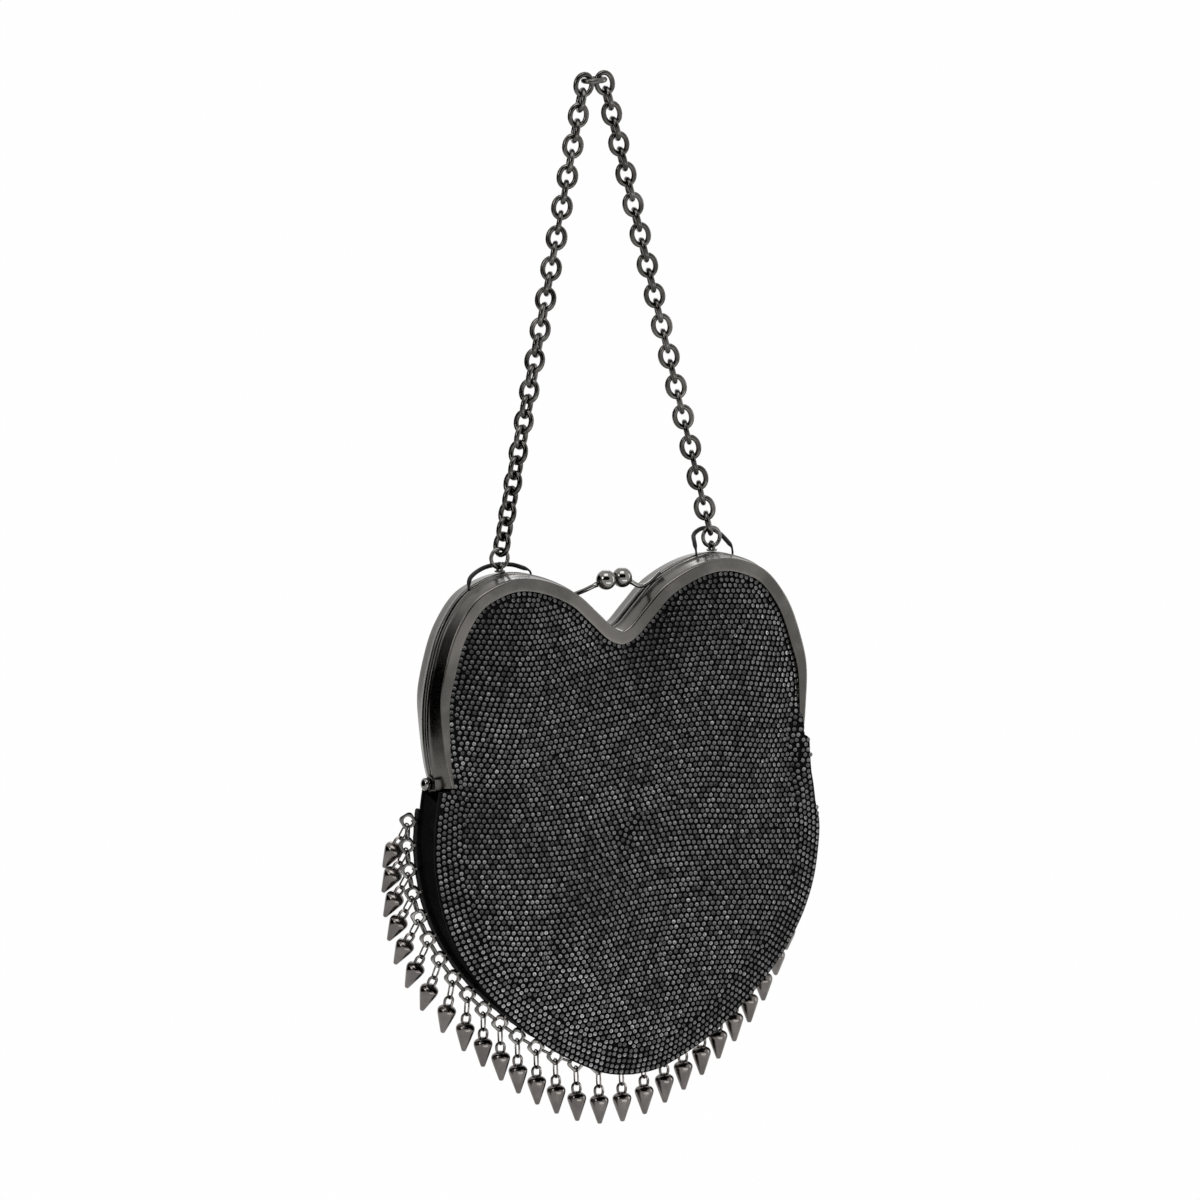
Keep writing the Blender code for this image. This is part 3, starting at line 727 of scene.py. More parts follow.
class Sheet:
    """Adds nodes to one node tree."""

    def __init__(self, tree: Tree) -> None:
        """Keep the tree that the nodes go into."""
        self.tree = tree

    def feed(self, node: bpy.types.Node, inputs: dict) -> None:
        """Set or link the inputs of a node.

        Args:
            node: The node.
            inputs: Socket name or number to value or output socket.
        """
        for key, value in inputs.items():
            if isinstance(value, Socket):
                self.tree.links.new(value, node.inputs[key])
            else:
                node.inputs[key].default_value = value

    def add(
        self, kind: str, inputs: Optional[dict] = None, **settings: object,
    ) -> bpy.types.Node:
        """Add one node.

        Args:
            kind: Node type.
            inputs: Socket name or number to value or output socket.
            **settings: Properties of the node.

        Returns:
            The new node.
        """
        node = self.tree.nodes.new(kind)
        for key, value in settings.items():
            setattr(node, key, value)
        self.feed(node, inputs or {})
        return node

    def math(self, operation: str, first: object, second: object = 0.0) -> Socket:
        """Output of a math node."""
        return self.add("ShaderNodeMath", {0: first, 1: second}, operation=operation).outputs[0]

    def ramp(
        self, factor: object, low: float, high: float, start: float = 0.0, end: float = 1.0,
    ) -> Socket:
        """Map a factor softly from start..end to low..high.

        Args:
            factor: What is mapped.
            low: Result at the start and below.
            high: Result at the end and above.
            start: Factor that gives the low result.
            end: Factor that gives the high result.

        Returns:
            The output socket.
        """
        limits = {"From Min": start, "From Max": end, "To Min": low, "To Max": high}
        node = self.add(
            "ShaderNodeMapRange", {"Value": factor, **limits}, interpolation_type="SMOOTHSTEP",
        )
        return node.outputs["Result"]

    def mix(self, factor: object, first: object, second: object) -> Socket:
        """Output of a colour mix node."""
        inputs = {0: factor, 6: first, 7: second}
        return self.add("ShaderNodeMix", inputs, data_type="RGBA").outputs[2]

    def noise(
        self, vector: object, scale: object, detail: float, roughness: float = 0.5,
    ) -> Socket:
        """Output of a noise texture."""
        inputs = {"Vector": vector, "Scale": scale, "Detail": detail, "Roughness": roughness}
        return self.add("ShaderNodeTexNoise", inputs).outputs["Fac"]

    def mapped(
        self, vector: object, scale: tuple, turn: tuple = (0.0, 0.0, 0.0),
    ) -> Socket:
        """Output of a mapping node with its scale and its turn in radians."""
        inputs = {"Vector": vector, "Rotation": turn, "Scale": scale}
        return self.add("ShaderNodeMapping", inputs).outputs[0]

    def bump(self, height: object, strength: float, distance: float) -> Socket:
        """Output of a bump node."""
        inputs = {"Height": height, "Strength": strength, "Distance": distance}
        return self.add("ShaderNodeBump", inputs).outputs[0]

    def group(self, tree: Tree, **inputs: object) -> bpy.types.bpy_prop_collection:
        """Outputs of a shared node group, by name."""
        return self.add("ShaderNodeGroup", inputs, node_tree=tree).outputs

    def rays(self, *kinds: str) -> Socket:
        """Tell some kinds of ray from the others.

        Args:
            *kinds: Outputs of the light path node.

        Returns:
            A number that is one for a ray of any of these kinds.
        """
        path = self.add("ShaderNodeLightPath").outputs
        found = path[kinds[0]]
        for kind in kinds[1:]:
            found = self.math("MAXIMUM", found, path[kind])
        return found


def group_tree(name: str, numbers: dict, outputs: Sequence[str]) -> tuple:
    """Start a shader node group that reads coordinates and puts out numbers.

    Args:
        name: Name of the group.
        numbers: Name of each number that it takes, to its default.
        outputs: Names of the numbers that it puts out.

    Returns:
        The sheet, the group's inputs by name and the group output node.
    """
    tree = bpy.data.node_groups.new(name, "ShaderNodeTree")
    tree.interface.new_socket("Vector", in_out="INPUT", socket_type="NodeSocketVector")
    for key, default in numbers.items():
        socket = tree.interface.new_socket(key, in_out="INPUT", socket_type="NodeSocketFloat")
        socket.default_value = default
    for key in outputs:
        tree.interface.new_socket(key, in_out="OUTPUT", socket_type="NodeSocketFloat")
    sheet = Sheet(tree)
    return sheet, sheet.add("NodeGroupInput").outputs, sheet.add("NodeGroupOutput")


def handling_group() -> Tree:
    """Build smudges, fine scratches and specks that plated metal picks up in use.

    Returns:
        The node group.
    """
    sheet, given, result = group_tree(
        "handling_marks", {"Size": 60.0}, ("Smudge", "Scratch", "Speck"),
    )
    vector, size = given["Vector"], given["Size"]
    fine = sheet.math("MULTIPLY", size, 16.0)
    stretched = sheet.mapped(vector, (1.0, 14.0, 1.0), (0.3, 0.7, 0.5))
    smudge = sheet.noise(vector, size, 4.0, 0.6)
    scratch = sheet.noise(stretched, fine, 3.0, 0.7)
    speck = sheet.noise(vector, fine, 2.0)
    sheet.feed(result, {
        "Smudge": sheet.ramp(smudge, 0.0, 1.0, 0.35, 0.68),
        "Scratch": sheet.ramp(scratch, 0.0, 1.0, 0.55, 0.75),
        "Speck": sheet.ramp(speck, 0.0, 1.0, 0.60, 0.78),
    })
    return sheet.tree


def brushed_group() -> Tree:
    """Build long fine lines of a brushed face, along the first coordinate.

    Returns:
        The node group.
    """
    sheet, given, result = group_tree("brushed_lines", {}, ("Line", "Cloud"))
    narrow = sheet.mapped(given["Vector"], (60.0, 3800.0, 1.0))
    wide = sheet.mapped(given["Vector"], (45.0, 160.0, 1.0))
    sheet.feed(result, {
        "Line": sheet.noise(narrow, 1.0, 4.0, 0.65),
        "Cloud": sheet.noise(wide, 1.0, 2.0),
    })
    return sheet.tree


def weave_group() -> Tree:
    """Build the plain weave of a thin cloth, over and under in both directions.

    Returns:
        The node group.
    """
    sheet, given, result = group_tree("plain_weave", {"Threads": 1500.0}, ("Height", "Shade"))
    parts = sheet.add("ShaderNodeSeparateXYZ", {"Vector": given["Vector"]}).outputs
    across, down = (
        sheet.math("SINE", sheet.math("MULTIPLY", parts[axis], given["Threads"]))
        for axis in ("X", "Z")
    )
    sheet.feed(result, {
        "Height": sheet.ramp(sheet.math("MULTIPLY", across, down), 0.0, 1.0, -1.0, 1.0),
        "Shade": sheet.noise(given["Vector"], 120.0, 4.0, 0.6),
    })
    return sheet.tree


@dataclass(frozen=True)
class Finish:
    """What every finish shares: its name and two colours that it varies between."""

    name: str
    dark: tuple
    light: tuple

    def start(self) -> tuple:
        """Start the material.

        Returns:
            The material, its node sheet and its Principled shader.
        """
        material = bpy.data.materials.new(self.name)
        material.use_nodes = True
        sheet = Sheet(material.node_tree)
        return material, sheet, material.node_tree.nodes["Principled BSDF"]

    def colours(self) -> tuple:
        """Both colours with an alpha of one."""
        return (*self.dark, 1.0), (*self.light, 1.0)


@dataclass(frozen=True)
class Plated(Finish):
    """Dark plated metal with smudges, fine scratches and specks."""

    rough_low: float = 0.14
    rough_high: float = 0.30
    marks: float = 60.0
    relief: float = 0.10
    scratch_depth: float = 0.00005
    speck_rough: float = 0.12

    def make(self, marks_group: Tree) -> Material:
        """Build the material.

        Args:
            marks_group: The group of handling marks.

        Returns:
            The material.
        """
        material, sheet, shader = self.start()
        place = sheet.add("ShaderNodeTexCoord").outputs["Object"]
        marks = sheet.group(marks_group, Vector=place, Size=self.marks)
        rough = sheet.ramp(marks["Smudge"], self.rough_low, self.rough_high)
        specks = sheet.math("MULTIPLY", marks["Speck"], self.speck_rough)
        sheet.feed(shader, {
            "Base Color": sheet.mix(marks["Smudge"], *self.colours()),
            "Metallic": 1.0,
            "Roughness": sheet.math("ADD", rough, specks),
            "Normal": sheet.bump(marks["Scratch"], self.relief, self.scratch_depth),
        })
        return material


@dataclass(frozen=True)
class Brushed(Finish):
    """Satin face of the frame, brushed along the band."""

    rough_low: float = 0.28
    rough_high: float = 0.42
    relief: float = 0.16
    line_depth: float = 0.00003

    def make(self, lines_group: Tree) -> Material:
        """Build the material.

        Args:
            lines_group: The group of brushed lines.

        Returns:
            The material.
        """
        material, sheet, shader = self.start()
        run = sheet.add("ShaderNodeUVMap").outputs["UV"]
        lines = sheet.group(lines_group, Vector=run)
        tone = sheet.math("MULTIPLY", lines["Line"], lines["Cloud"])
        sheet.feed(shader, {
            "Base Color": sheet.mix(sheet.ramp(tone, 0.0, 1.0, 0.12, 0.42), *self.colours()),
            "Metallic": 1.0,
            "Roughness": sheet.ramp(lines["Line"], self.rough_low, self.rough_high, 0.3, 0.7),
            "Normal": sheet.bump(lines["Line"], self.relief, self.line_depth),
        })
        return material


@dataclass(frozen=True)
class Studs(Finish):
    """Small plated studs, each a little lighter or darker than the next, with painted shade at
    their dimples, on their top rims and round their bases.
    """

    rough_low: float = 0.20
    rough_high: float = 0.42
    marks: float = 90.0
    smudge_rough: float = 0.10
    relief: float = 0.12
    speck_depth: float = 0.00005
    # Painted shade: how strongly, and in which near-black colour, the studs are darkened at the
    # dimple, rim and base.
    painted_shade_share: float = 0.85
    painted_shade_colour: tuple = (0.006, 0.006, 0.006, 1.0)

    def make(self, marks_group: Tree) -> Material:
        """Build the material.

        Args:
            marks_group: The group of handling marks.

        Returns:
            The material, which reads the attributes tone and hollow of the studs; hollow says how
            much painted shade a point gets.
        """
        material, sheet, shader = self.start()
        tone = sheet.add("ShaderNodeAttribute", attribute_name="tone").outputs["Fac"]
        hollow = sheet.add("ShaderNodeAttribute", attribute_name="hollow").outputs["Fac"]
        place = sheet.add("ShaderNodeTexCoord").outputs["Object"]
        marks = sheet.group(marks_group, Vector=place, Size=self.marks)
        plating = sheet.mix(sheet.ramp(tone, 0.0, 1.0), *self.colours())
        # Painted shade: the hollow attribute mixes the plating towards near black.
        shaded = sheet.math("MULTIPLY", hollow, self.painted_shade_share)
        worn = sheet.math("MULTIPLY", marks["Smudge"], self.smudge_rough)
        rough = sheet.ramp(tone, self.rough_high, self.rough_low)
        sheet.feed(shader, {
            "Base Color": sheet.mix(shaded, plating, self.painted_shade_colour),
            "Metallic": 1.0,
            "Roughness": sheet.math("ADD", rough, worn),
            "Normal": sheet.bump(marks["Speck"], self.relief, self.speck_depth),
        })
        return material


@dataclass(frozen=True)
class Cloth(Finish):
    """Thin black woven cloth."""

    threads: float = 9000.0
    rough: float = 0.85
    sheen: float = 0.03
    shine: float = 0.05
    polish: float = 0.12
    sheen_rough: float = 0.4
    relief: float = 0.5
    thread_depth: float = 0.0001

    def make(self, cloth_group: Tree) -> Material:
        """Build the material.

        Args:
            cloth_group: The group of the weave.

        Returns:
            The material.
        """
        material, sheet, shader = self.start()
        place = sheet.add("ShaderNodeTexCoord").outputs["Object"]
        weave = sheet.group(cloth_group, Vector=place, Threads=self.threads)
        shade = sheet.ramp(weave["Shade"], 0.0, 1.0, 0.3, 0.7)
        sheet.feed(shader, {
            "Base Color": sheet.mix(shade, *self.colours()),
            "Roughness": sheet.ramp(weave["Height"], self.rough, self.rough - self.polish),
            "Specular IOR Level": self.shine,
            "Sheen Weight": self.sheen,
            "Sheen Roughness": self.sheen_rough,
            "Normal": sheet.bump(weave["Height"], self.relief, self.thread_depth),
        })
        return material


class Finishes:
    """All materials of the bag, built once."""

    def __init__(self) -> None:
        """Build the shared node groups and every material."""
        marks, lines, weave = handling_group(), brushed_group(), weave_group()
        self.link = Plated(
            "link_gunmetal", (0.048, 0.046, 0.042), (0.110, 0.105, 0.097), 0.10, 0.20, 60.0,
        ).make(marks)
        self.ring = Plated(
            "ring_satin", (0.090, 0.088, 0.082), (0.160, 0.156, 0.147), 0.15, 0.27, 90.0,
        ).make(marks)
        self.ball = Plated(
            "ball_polished", (0.170, 0.166, 0.157), (0.215, 0.210, 0.198),
            0.06, 0.12, 70.0, 0.04,
        ).make(marks)
        self.wall = Plated(
            "wall_polished", (0.068, 0.063, 0.058), (0.105, 0.098, 0.090),
            0.07, 0.14, 25.0, 0.05,
        ).make(marks)
        self.lip = Plated(
            "lip_satin", (0.088, 0.084, 0.076), (0.140, 0.134, 0.123), 0.20, 0.32, 40.0,
        ).make(marks)
        # Lighter metal on the frame's rounded edges: partly wear, partly a painted edge
        # highlight.
        self.edge = Plated(
            "edge_wear_and_highlight", (0.220, 0.214, 0.200), (0.370, 0.361, 0.340), 0.14, 0.26, 80.0,
        ).make(marks)
        self.spike = Plated(
            "spike_gunmetal", (0.122, 0.111, 0.104), (0.172, 0.158, 0.148), 0.14, 0.24, 110.0,
        ).make(marks)
        self.star = Plated(
            "star_gunmetal", (0.085, 0.082, 0.077), (0.165, 0.160, 0.152), 0.12, 0.28, 160.0,
        ).make(marks)
        self.band = Brushed(
            "band_brushed", (0.092, 0.086, 0.075), (0.165, 0.155, 0.136),
        ).make(lines)
        self.studs = Studs(
            "stud_metal", (0.050, 0.050, 0.050), (0.165, 0.165, 0.164),
        ).make(marks)
        self.cloth = Cloth(
            "black_cloth", (0.0012, 0.0012, 0.0013), (0.0034, 0.0034, 0.0036),
        ).make(weave)
        self.strap = Cloth(
            "black_strap", (0.003, 0.003, 0.003), (0.009, 0.009, 0.009),
            14000.0, 0.55, 0.02, 0.22,
        ).make(weave)

# ---------- chain ----------


@dataclass(frozen=True)
class RingSizes:
    """Sizes and place of the jump rings, which the chain and the lugs share."""

    x: float = 0.0451
    z: float = -0.1772
    outer: float = 0.0086
    wire: float = 0.0015


RING = RingSizes()


@dataclass
class Chain:
    """Handle: top link, two strands of oval links and two jump rings."""

    finishes: Finishes
    link_width: float = 0.0083
    link_wire: float = 0.00205
    link_roundness: float = 0.9
    top_length: float = 0.0105
    strand_seat: float = 0.00149
    strands: tuple = ((Hand.LEFT, 31, -63.0), (Hand.RIGHT, 30, -18.0))
    start_turn: float = -10.0
    seat: float = 0.0003
    bite: float = 0.00022
    ring_start: float = 34.0
    ring_closed: float = 0.992
    ring_steps: int = 48
    ring_sides: int = 14

    def build(self) -> None:
        """Build and place every link."""
        pattern = self.link("top_link", self.top_length)
        places = [along(X_AXIS, -Z_AXIS, Vector())]
        piece = spread(pattern, places, "handle_top_link", SOFT_CREASE)
        dress(piece, [self.finishes.link], CHAIN, "chain_top_link")
        for hand, count, twist in self.strands:
            self.strand(hand, count, twist)
            self.jump_ring(hand)

    def link(self, name: str, length: float) -> Item:
        """Model one link of the chain's wire and width."""
        return oval(
            name, length, self.link_width, self.link_wire, roundness=self.link_roundness,
        )

    def strand(self, hand: Hand, count: int, twist: float) -> None:
        """Build one strand of links.

        Args:
            hand: Which strand.
            count: Number of links.
            twist: Turn from the first to the last link, in degrees.
        """
        across = hand.value * (self.top_length / 2 - self.strand_seat)
        top = Vector((across, 0.0, self.link_wire / 2 + self.seat))
        ring = Vector((hand.value * RING.x, 0.0, RING.z))
        down = (ring - top).normalized()
        hang = RING.outer / 2 - RING.wire - self.link_wire / 2 - self.seat
        pitch = ((ring - top).length - hang + self.bite - self.link_wire / 2) / count
        start = top + down * ((pitch - self.bite) / 2)
        pattern = self.link("link", pitch + self.link_wire * 2)
        places = []
        for k in range(count):
            turn = math.radians(self.start_turn + twist * k / (count - 1) + 90.0 * (k % 2))
            normal = Vector((math.sin(turn), -math.cos(turn), 0.0))
            places.append(along(down, normal, start + down * (pitch * k)))
        piece = spread(pattern, places, "handle_links_" + hand.word, SOFT_CREASE)
        dress(piece, [self.finishes.link], CHAIN, "chain_" + hand.word)

    def jump_ring(self, hand: Hand) -> None:
        """Build the open ring that joins a strand to its lug.

        Args:
            hand: Which strand.
        """
        centre = Vector((hand.value * RING.x, 0.0, RING.z))
        radius = (RING.outer - RING.wire) / 2
        first = math.radians(self.ring_start)
        points = []
        for k in range(self.ring_steps + 1):
            angle = first + math.tau * self.ring_closed * k / self.ring_steps
            points.append(centre + Vector((math.cos(angle), 0.0, math.sin(angle))) * radius)
        radii = [RING.wire / 2] * len(points)
        piece = rod("jump_ring_" + hand.word + "_wire", points, radii, self.ring_sides)
        dress(piece, [self.finishes.ring], CHAIN, "jump_ring_" + hand.word)


# ---------- frame ----------


@dataclass
class ClaspFrame:
    """Two pressed frame halves with hinge ears, rivets, washers and lugs."""

    finishes: Finishes
    step: float = 0.0013
    hinge_z: float = -0.2595
    boss_x: float = 0.0752
    split_x: float = 0.07775
    opening: float = math.radians(65.0)
    clearance: float = 0.0004
    soft_edge: float = 0.0003
    ear_radius: float = 0.0030
    ear_bore: float = 0.0012
    ear_thickness: float = 0.0008
    gap: float = 0.0003
    plate_near: float = 0.0015
    plate_far: float = 0.0049
    plate_height: float = 0.0044
    plate_edge: float = 0.00015
    foot_size: tuple = (0.0023, 0.0013)
    tail_length: float = 0.0006
    shank: float = 0.0009
    dome_radius: float = 0.0025
    dome_height: float = 0.0016
    washer_thickness: float = 0.0006
    lug_wire: float = 0.0012
    lug_foot_half_width: float = 0.0020
    lug_foot_height: float = 0.0005
    lug_foot_edge: float = 0.00012
    # Last row and material number of each zone; the rounded edges get the lighter edge metal,
    # partly a painted highlight.
    zones: tuple = ((4, 0), (10, 1), (13, 2), (15, 3), (17, 2))

    def build(self) -> None:
        """Build both halves and what is riveted or soldered to them."""
        self.half(Side.FRONT)
        self.half(Side.REAR)
        for hand in Hand:
            self.rivet(hand)
            self.washer(hand)
            self.lug(hand)

    def section(self, point: Vector, inward: Vector, side: Side) -> list[Vector]:
        """Closed section of one half: lip, wall, band and the inside of the sheet.

        Args:
            point: Point of the outline.
            inward: Direction from there into the frame.
            side: Which half.

        Returns:
            The points of the section. As it is written down, each is a distance inwards and a
            distance from the parting plane.
        """
        shape, soft = OUTLINE, self.soft_edge
        inset, band = shape.face_inset(point), shape.band_width(point)
        lip = shape.lip_gap / 2
        end = lip + shape.lip_height
        deep = lip + shape.half_depth
        wall = shape.wall_recess + inset + shape.wall_draft
        wall_start = shape.wall_recess + inset * (shape.lip_height / shape.half_depth)
        inside = shape.wall_recess + shape.sheet
        turn = shape.corner_round
        points = [
            (soft, lip), (0.0, lip + soft), (-0.0001, lip + 0.0011), (0.0, end - soft),
            (wall_start * 0.5, end), (wall_start, end + soft),
        ]
        for share in (0.25, 0.5, 0.75):
            low, high = end + soft, deep - turn
            points.append((wall_start + (wall - wall_start) * share, low + (high - low) * share))
        points.append((wall, deep - turn))
        for angle in (22.5, 45.0, 67.5):
            a = math.radians(angle)
            points.append((wall + turn * (1 - math.cos(a)), deep - turn * (1 - math.sin(a))))
        inner = inset + band
        points += [
            (wall + turn, deep), (wall + turn + 0.00025, deep),
            (wall + (inner - wall) * 0.6, deep + 0.00004), (inner - 0.0005, deep),
            (inner - 0.00015, deep - 0.00005), (inner, deep - soft), (inner, deep - shape.sheet),
            (wall + shape.sheet, deep - shape.sheet), (inside, lip),
        ]
        return [
            point + inward * a + Y_AXIS * (shape.parting_y + side.value * b) for a, b in points
        ]

    def zone(self, row: int) -> int:
        """Material number of a row of the section: lip 0, wall 1, lighter edge 2 with wear and a
        painted highlight, or band 3.
        """
        return next((number for last, number in self.zones if row <= last), 1)

    def half(self, side: Side) -> None:
        """Build one frame half with its ears.

        Args:
            side: Which half.
        """
        outline = mirrored(OUTLINE.rim_half(self.step))
        normals = right_normals(outline)
        sections = [self.section(p, n, side) for p, n in zip(outline, normals)]
        if side is Side.FRONT:
            self.cut_legs(sections)
        rows = len(sections[0])
        piece = shaped_grid(
            "clasp_half_" + side.word, len(sections) - 1, rows,
            lambda i, j: sections[i][j % rows], True, self.zone,
        )
        smooth(piece, 50.0)
        f = self.finishes
        body, node = (FRONT, "front_frame") if side is Side.FRONT else (REAR, "rear_frame")
        dress(piece, [f.lip, f.wall, f.edge, f.band], body, node)
        for hand in Hand:
            self.ear(side, hand, body)

    def cut_legs(self, sections: Sequence[Sequence[Vector]]) -> None:
        """Cut the leg ends on the slant that keeps them out of the pouch when the bag opens.

        Args:
            sections: Sections of the front half, whose lowest points are raised.
        """
        for spot in (p for section in sections for p in section):
            ahead = (spot.y - OUTLINE.parting_y) * math.cos(self.opening)
            limit = self.hinge_z + (ahead - self.clearance) / math.sin(self.opening)
            spot.z = max(spot.z, limit)

    def turned(
        self, name: str, profile: Sequence[tuple], hand: Hand, steps: int = 28,
    ) -> Item:
        """Turn a profile round the hinge axis at one leg.

        Args:
            name: Name of the piece.
            profile: Pairs of distance from the middle of the bag and radius.
            hand: Which leg.
            steps: Number of cells round the axis.

        Returns:
            The new object.
        """
        base = Vector((0.0, OUTLINE.parting_y, self.hinge_z))
        place = along(X_AXIS * hand.value, Z_AXIS, base)
        return spread(spun(name + "_shape", profile, steps), [place], name)

    def ear(self, side: Side, hand: Hand, body: str) -> None:
        """Build the hinge ear of one half at one leg.

        Args:
            side: Which half.
            hand: Which leg.
            body: Body that the half moves with.
        """
        if side is Side.REAR:
            start, end = self.boss_x, self.split_x - self.gap / 2
        else:
            start = self.split_x + self.gap / 2
            end = start + self.ear_thickness
        bore, outer, soft = self.ear_bore, self.ear_radius, 0.0002
        profile = [
            (start, bore), (start, outer - soft), (start + soft, outer), (end - soft, outer),
            (end, outer - soft), (end, bore), (start, bore),
        ]
        name = "hinge_ear_" + side.word + "_" + hand.word
        parts = [self.turned(name, profile, hand, 32)]
        if side is Side.FRONT:
            parts += self.plate(hand, start, end)
        dress(joined(name, parts), [self.finishes.lip], body)

    def plate(self, hand: Hand, start: float, end: float) -> list[Item]:
        """Build the step that carries the front ear.

        Args:
            hand: Which leg.
            start: Distance of the ear's inner face from the middle of the bag.
            end: Distance of its outer face.

        Returns:
            The step and its foot on the frame's wall.
        """
        near, far = OUTLINE.parting_y - self.plate_near, OUTLINE.parting_y - self.plate_far
        across, deep = self.foot_size
        step = block(
            "plate", (end - start, near - far, self.plate_height),
            (hand.value * (start + end) / 2, (near + far) / 2, self.hinge_z), self.plate_edge,
        )
        foot = block(
            "plate_foot", (across, deep, self.plate_height),
            (hand.value * (start - 0.0010), far + deep / 2, self.hinge_z), self.plate_edge,
        )
        return [step, foot]

    def rivet(self, hand: Hand) -> None:
        """Build one hinge rivet with a dome head and a flat tail.

        Args:
            hand: Which leg.
        """
        tail = self.boss_x - self.gap - self.tail_length
        head = self.split_x + self.gap / 2 + self.ear_thickness + self.gap * 2
        head += self.washer_thickness
        shank, dome = self.shank, self.dome_radius
        profile = [
            (tail, 0.0), (tail, 0.0013), (tail + 0.0002, 0.0015),
            (tail + self.tail_length, 0.0015), (tail + self.tail_length, shank),
            (head, shank), (head, dome - 0.0001), (head + 0.0002, dome),
        ]
        for k in range(1, 9):
            angle = math.radians(90.0) * k / 8
            height = 0.0003 + self.dome_height * math.sin(angle)
            profile.append((head + height, dome * math.cos(angle)))
        piece = self.turned("hinge_rivet_" + hand.word, profile, hand)
        dress(piece, [self.finishes.ball], REAR, "rivet_" + hand.word)

    def washer(self, hand: Hand) -> None:
        """Build the washer under a rivet head.

        Args:
            hand: Which leg.
        """
        start = self.split_x + self.gap / 2 + self.ear_thickness + self.gap
        end, soft = start + self.washer_thickness, 0.0001
        profile = [
            (start, 0.0012), (start, 0.0021), (start + soft, 0.0022), (end - soft, 0.0022),
            (end, 0.0021), (end, 0.0012), (start, 0.0012),
        ]
        piece = self.turned("rivet_washer_" + hand.word, profile, hand)
        dress(piece, [self.finishes.ring], REAR, "hinge_washer_" + hand.word)

    def lug(self, hand: Hand) -> None:
        """Build the staple that carries a jump ring, and its foot on the frame.

        Args:
            hand: Which strand hangs there.
        """
        wire = self.lug_wire
        top = RING.z - (RING.outer - RING.wire) / 2 + (RING.wire + wire) / 2 + self.gap
        reach = RING.wire / 2 + self.gap + wire / 2
        low = OUTLINE.rim_top_z + self.gap
        middle = Vector((hand.value * RING.x, 0.0, 0.0))
        arc = [
            Y_AXIS * (math.cos(angle) * reach) + Z_AXIS * (top - reach + math.sin(angle) * reach)
            for angle in (math.pi * k / 12 for k in range(13))
        ]
        end = Z_AXIS * (low + 0.0002)
        points = [middle + p for p in (Y_AXIS * reach + end, *arc, Y_AXIS * -reach + end)]
        staple = rod("staple", points, [wire / 2] * len(points), 12)
        deselect()
        bpy.ops.mesh.primitive_cylinder_add(
            vertices=24, radius=1.0, depth=self.lug_foot_height,
        )
        foot = bpy.context.object
        foot.scale = (self.lug_foot_half_width, reach + wire / 2, 1.0)
        foot.location = middle + Z_AXIS * (low + self.lug_foot_height / 2)
        settle(foot, "foot")
        chamfer(foot, self.lug_foot_edge)
        piece = joined("ring_lug_" + hand.word, [staple, foot])
        smooth(piece)
        dress(piece, [self.finishes.ring], REAR, "lug_" + hand.word)


# ---------- clasp ----------


@dataclass
class KissLock:
    """Two balls that snap past each other, each on a bent wire arm.

    Each path is the middle of a ball, then the points of its arm.
    """

    finishes: Finishes
    radius: float = 0.0038
    wire: float = 0.0018
    gap: float = 0.0003
    step: float = 0.0007
    collar: float = 0.25
    collar_length: float = 0.0008
    left: tuple = (
        (-0.0029, -0.0053, -0.1886), (-0.0100, -0.0016, -0.1923), (-0.0134, 0.0004, -0.1938),
    )
    right: tuple = (
        (0.0050, -0.0033, -0.1886), (0.0122, -0.0039, -0.1924), (0.0158, -0.0043, -0.1913),
        (0.0203, -0.0044, -0.1878),
    )

    def build(self) -> None:
        """Build both balls and arms."""
        for hand, body, given in ((Hand.LEFT, REAR, self.left), (Hand.RIGHT, FRONT, self.right)):
            centre, *path = (Vector(p) for p in given)
            self.ball(hand, body, centre)
            self.arm(hand, body, centre, path)

    def ball(self, hand: Hand, body: str, centre: Vector) -> None:
        """Build one ball.

        Args:
            hand: Which ball.
            body: Body that it rides on.
            centre: Middle of the ball.
        """
        deselect()
        bpy.ops.mesh.primitive_uv_sphere_add(
            segments=48, ring_count=32, radius=self.radius, location=centre,
        )
        piece = settle(bpy.context.object, "clasp_ball_" + hand.word)
        smooth(piece)
        dress(piece, [self.finishes.ball], body, "kiss_ball_" + hand.word)

    def arm(self, hand: Hand, body: str, centre: Vector, path: Sequence[Vector]) -> None:
        """Build the arm of one ball, a little thicker where the ball sits on it.

        Args:
            hand: Which ball.
            body: Body that it rides on.
            centre: Middle of the ball.
            path: Points of the arm, from the ball outwards.
        """
        toward = (path[0] - centre).normalized()
        start = centre + toward * (self.radius + self.gap * 0.3)
        points = spline([start] + list(path), self.step)
        radii = []
        for point in points:
            away = (point - start).length / self.collar_length
            radii.append(self.wire / 2 * (1.0 + self.collar * math.exp(-(away ** 2))))
        piece = rod("clasp_arm_" + hand.word, points, radii, 16, True)
        dress(piece, [self.finishes.ball], body, "kiss_arm_" + hand.word)


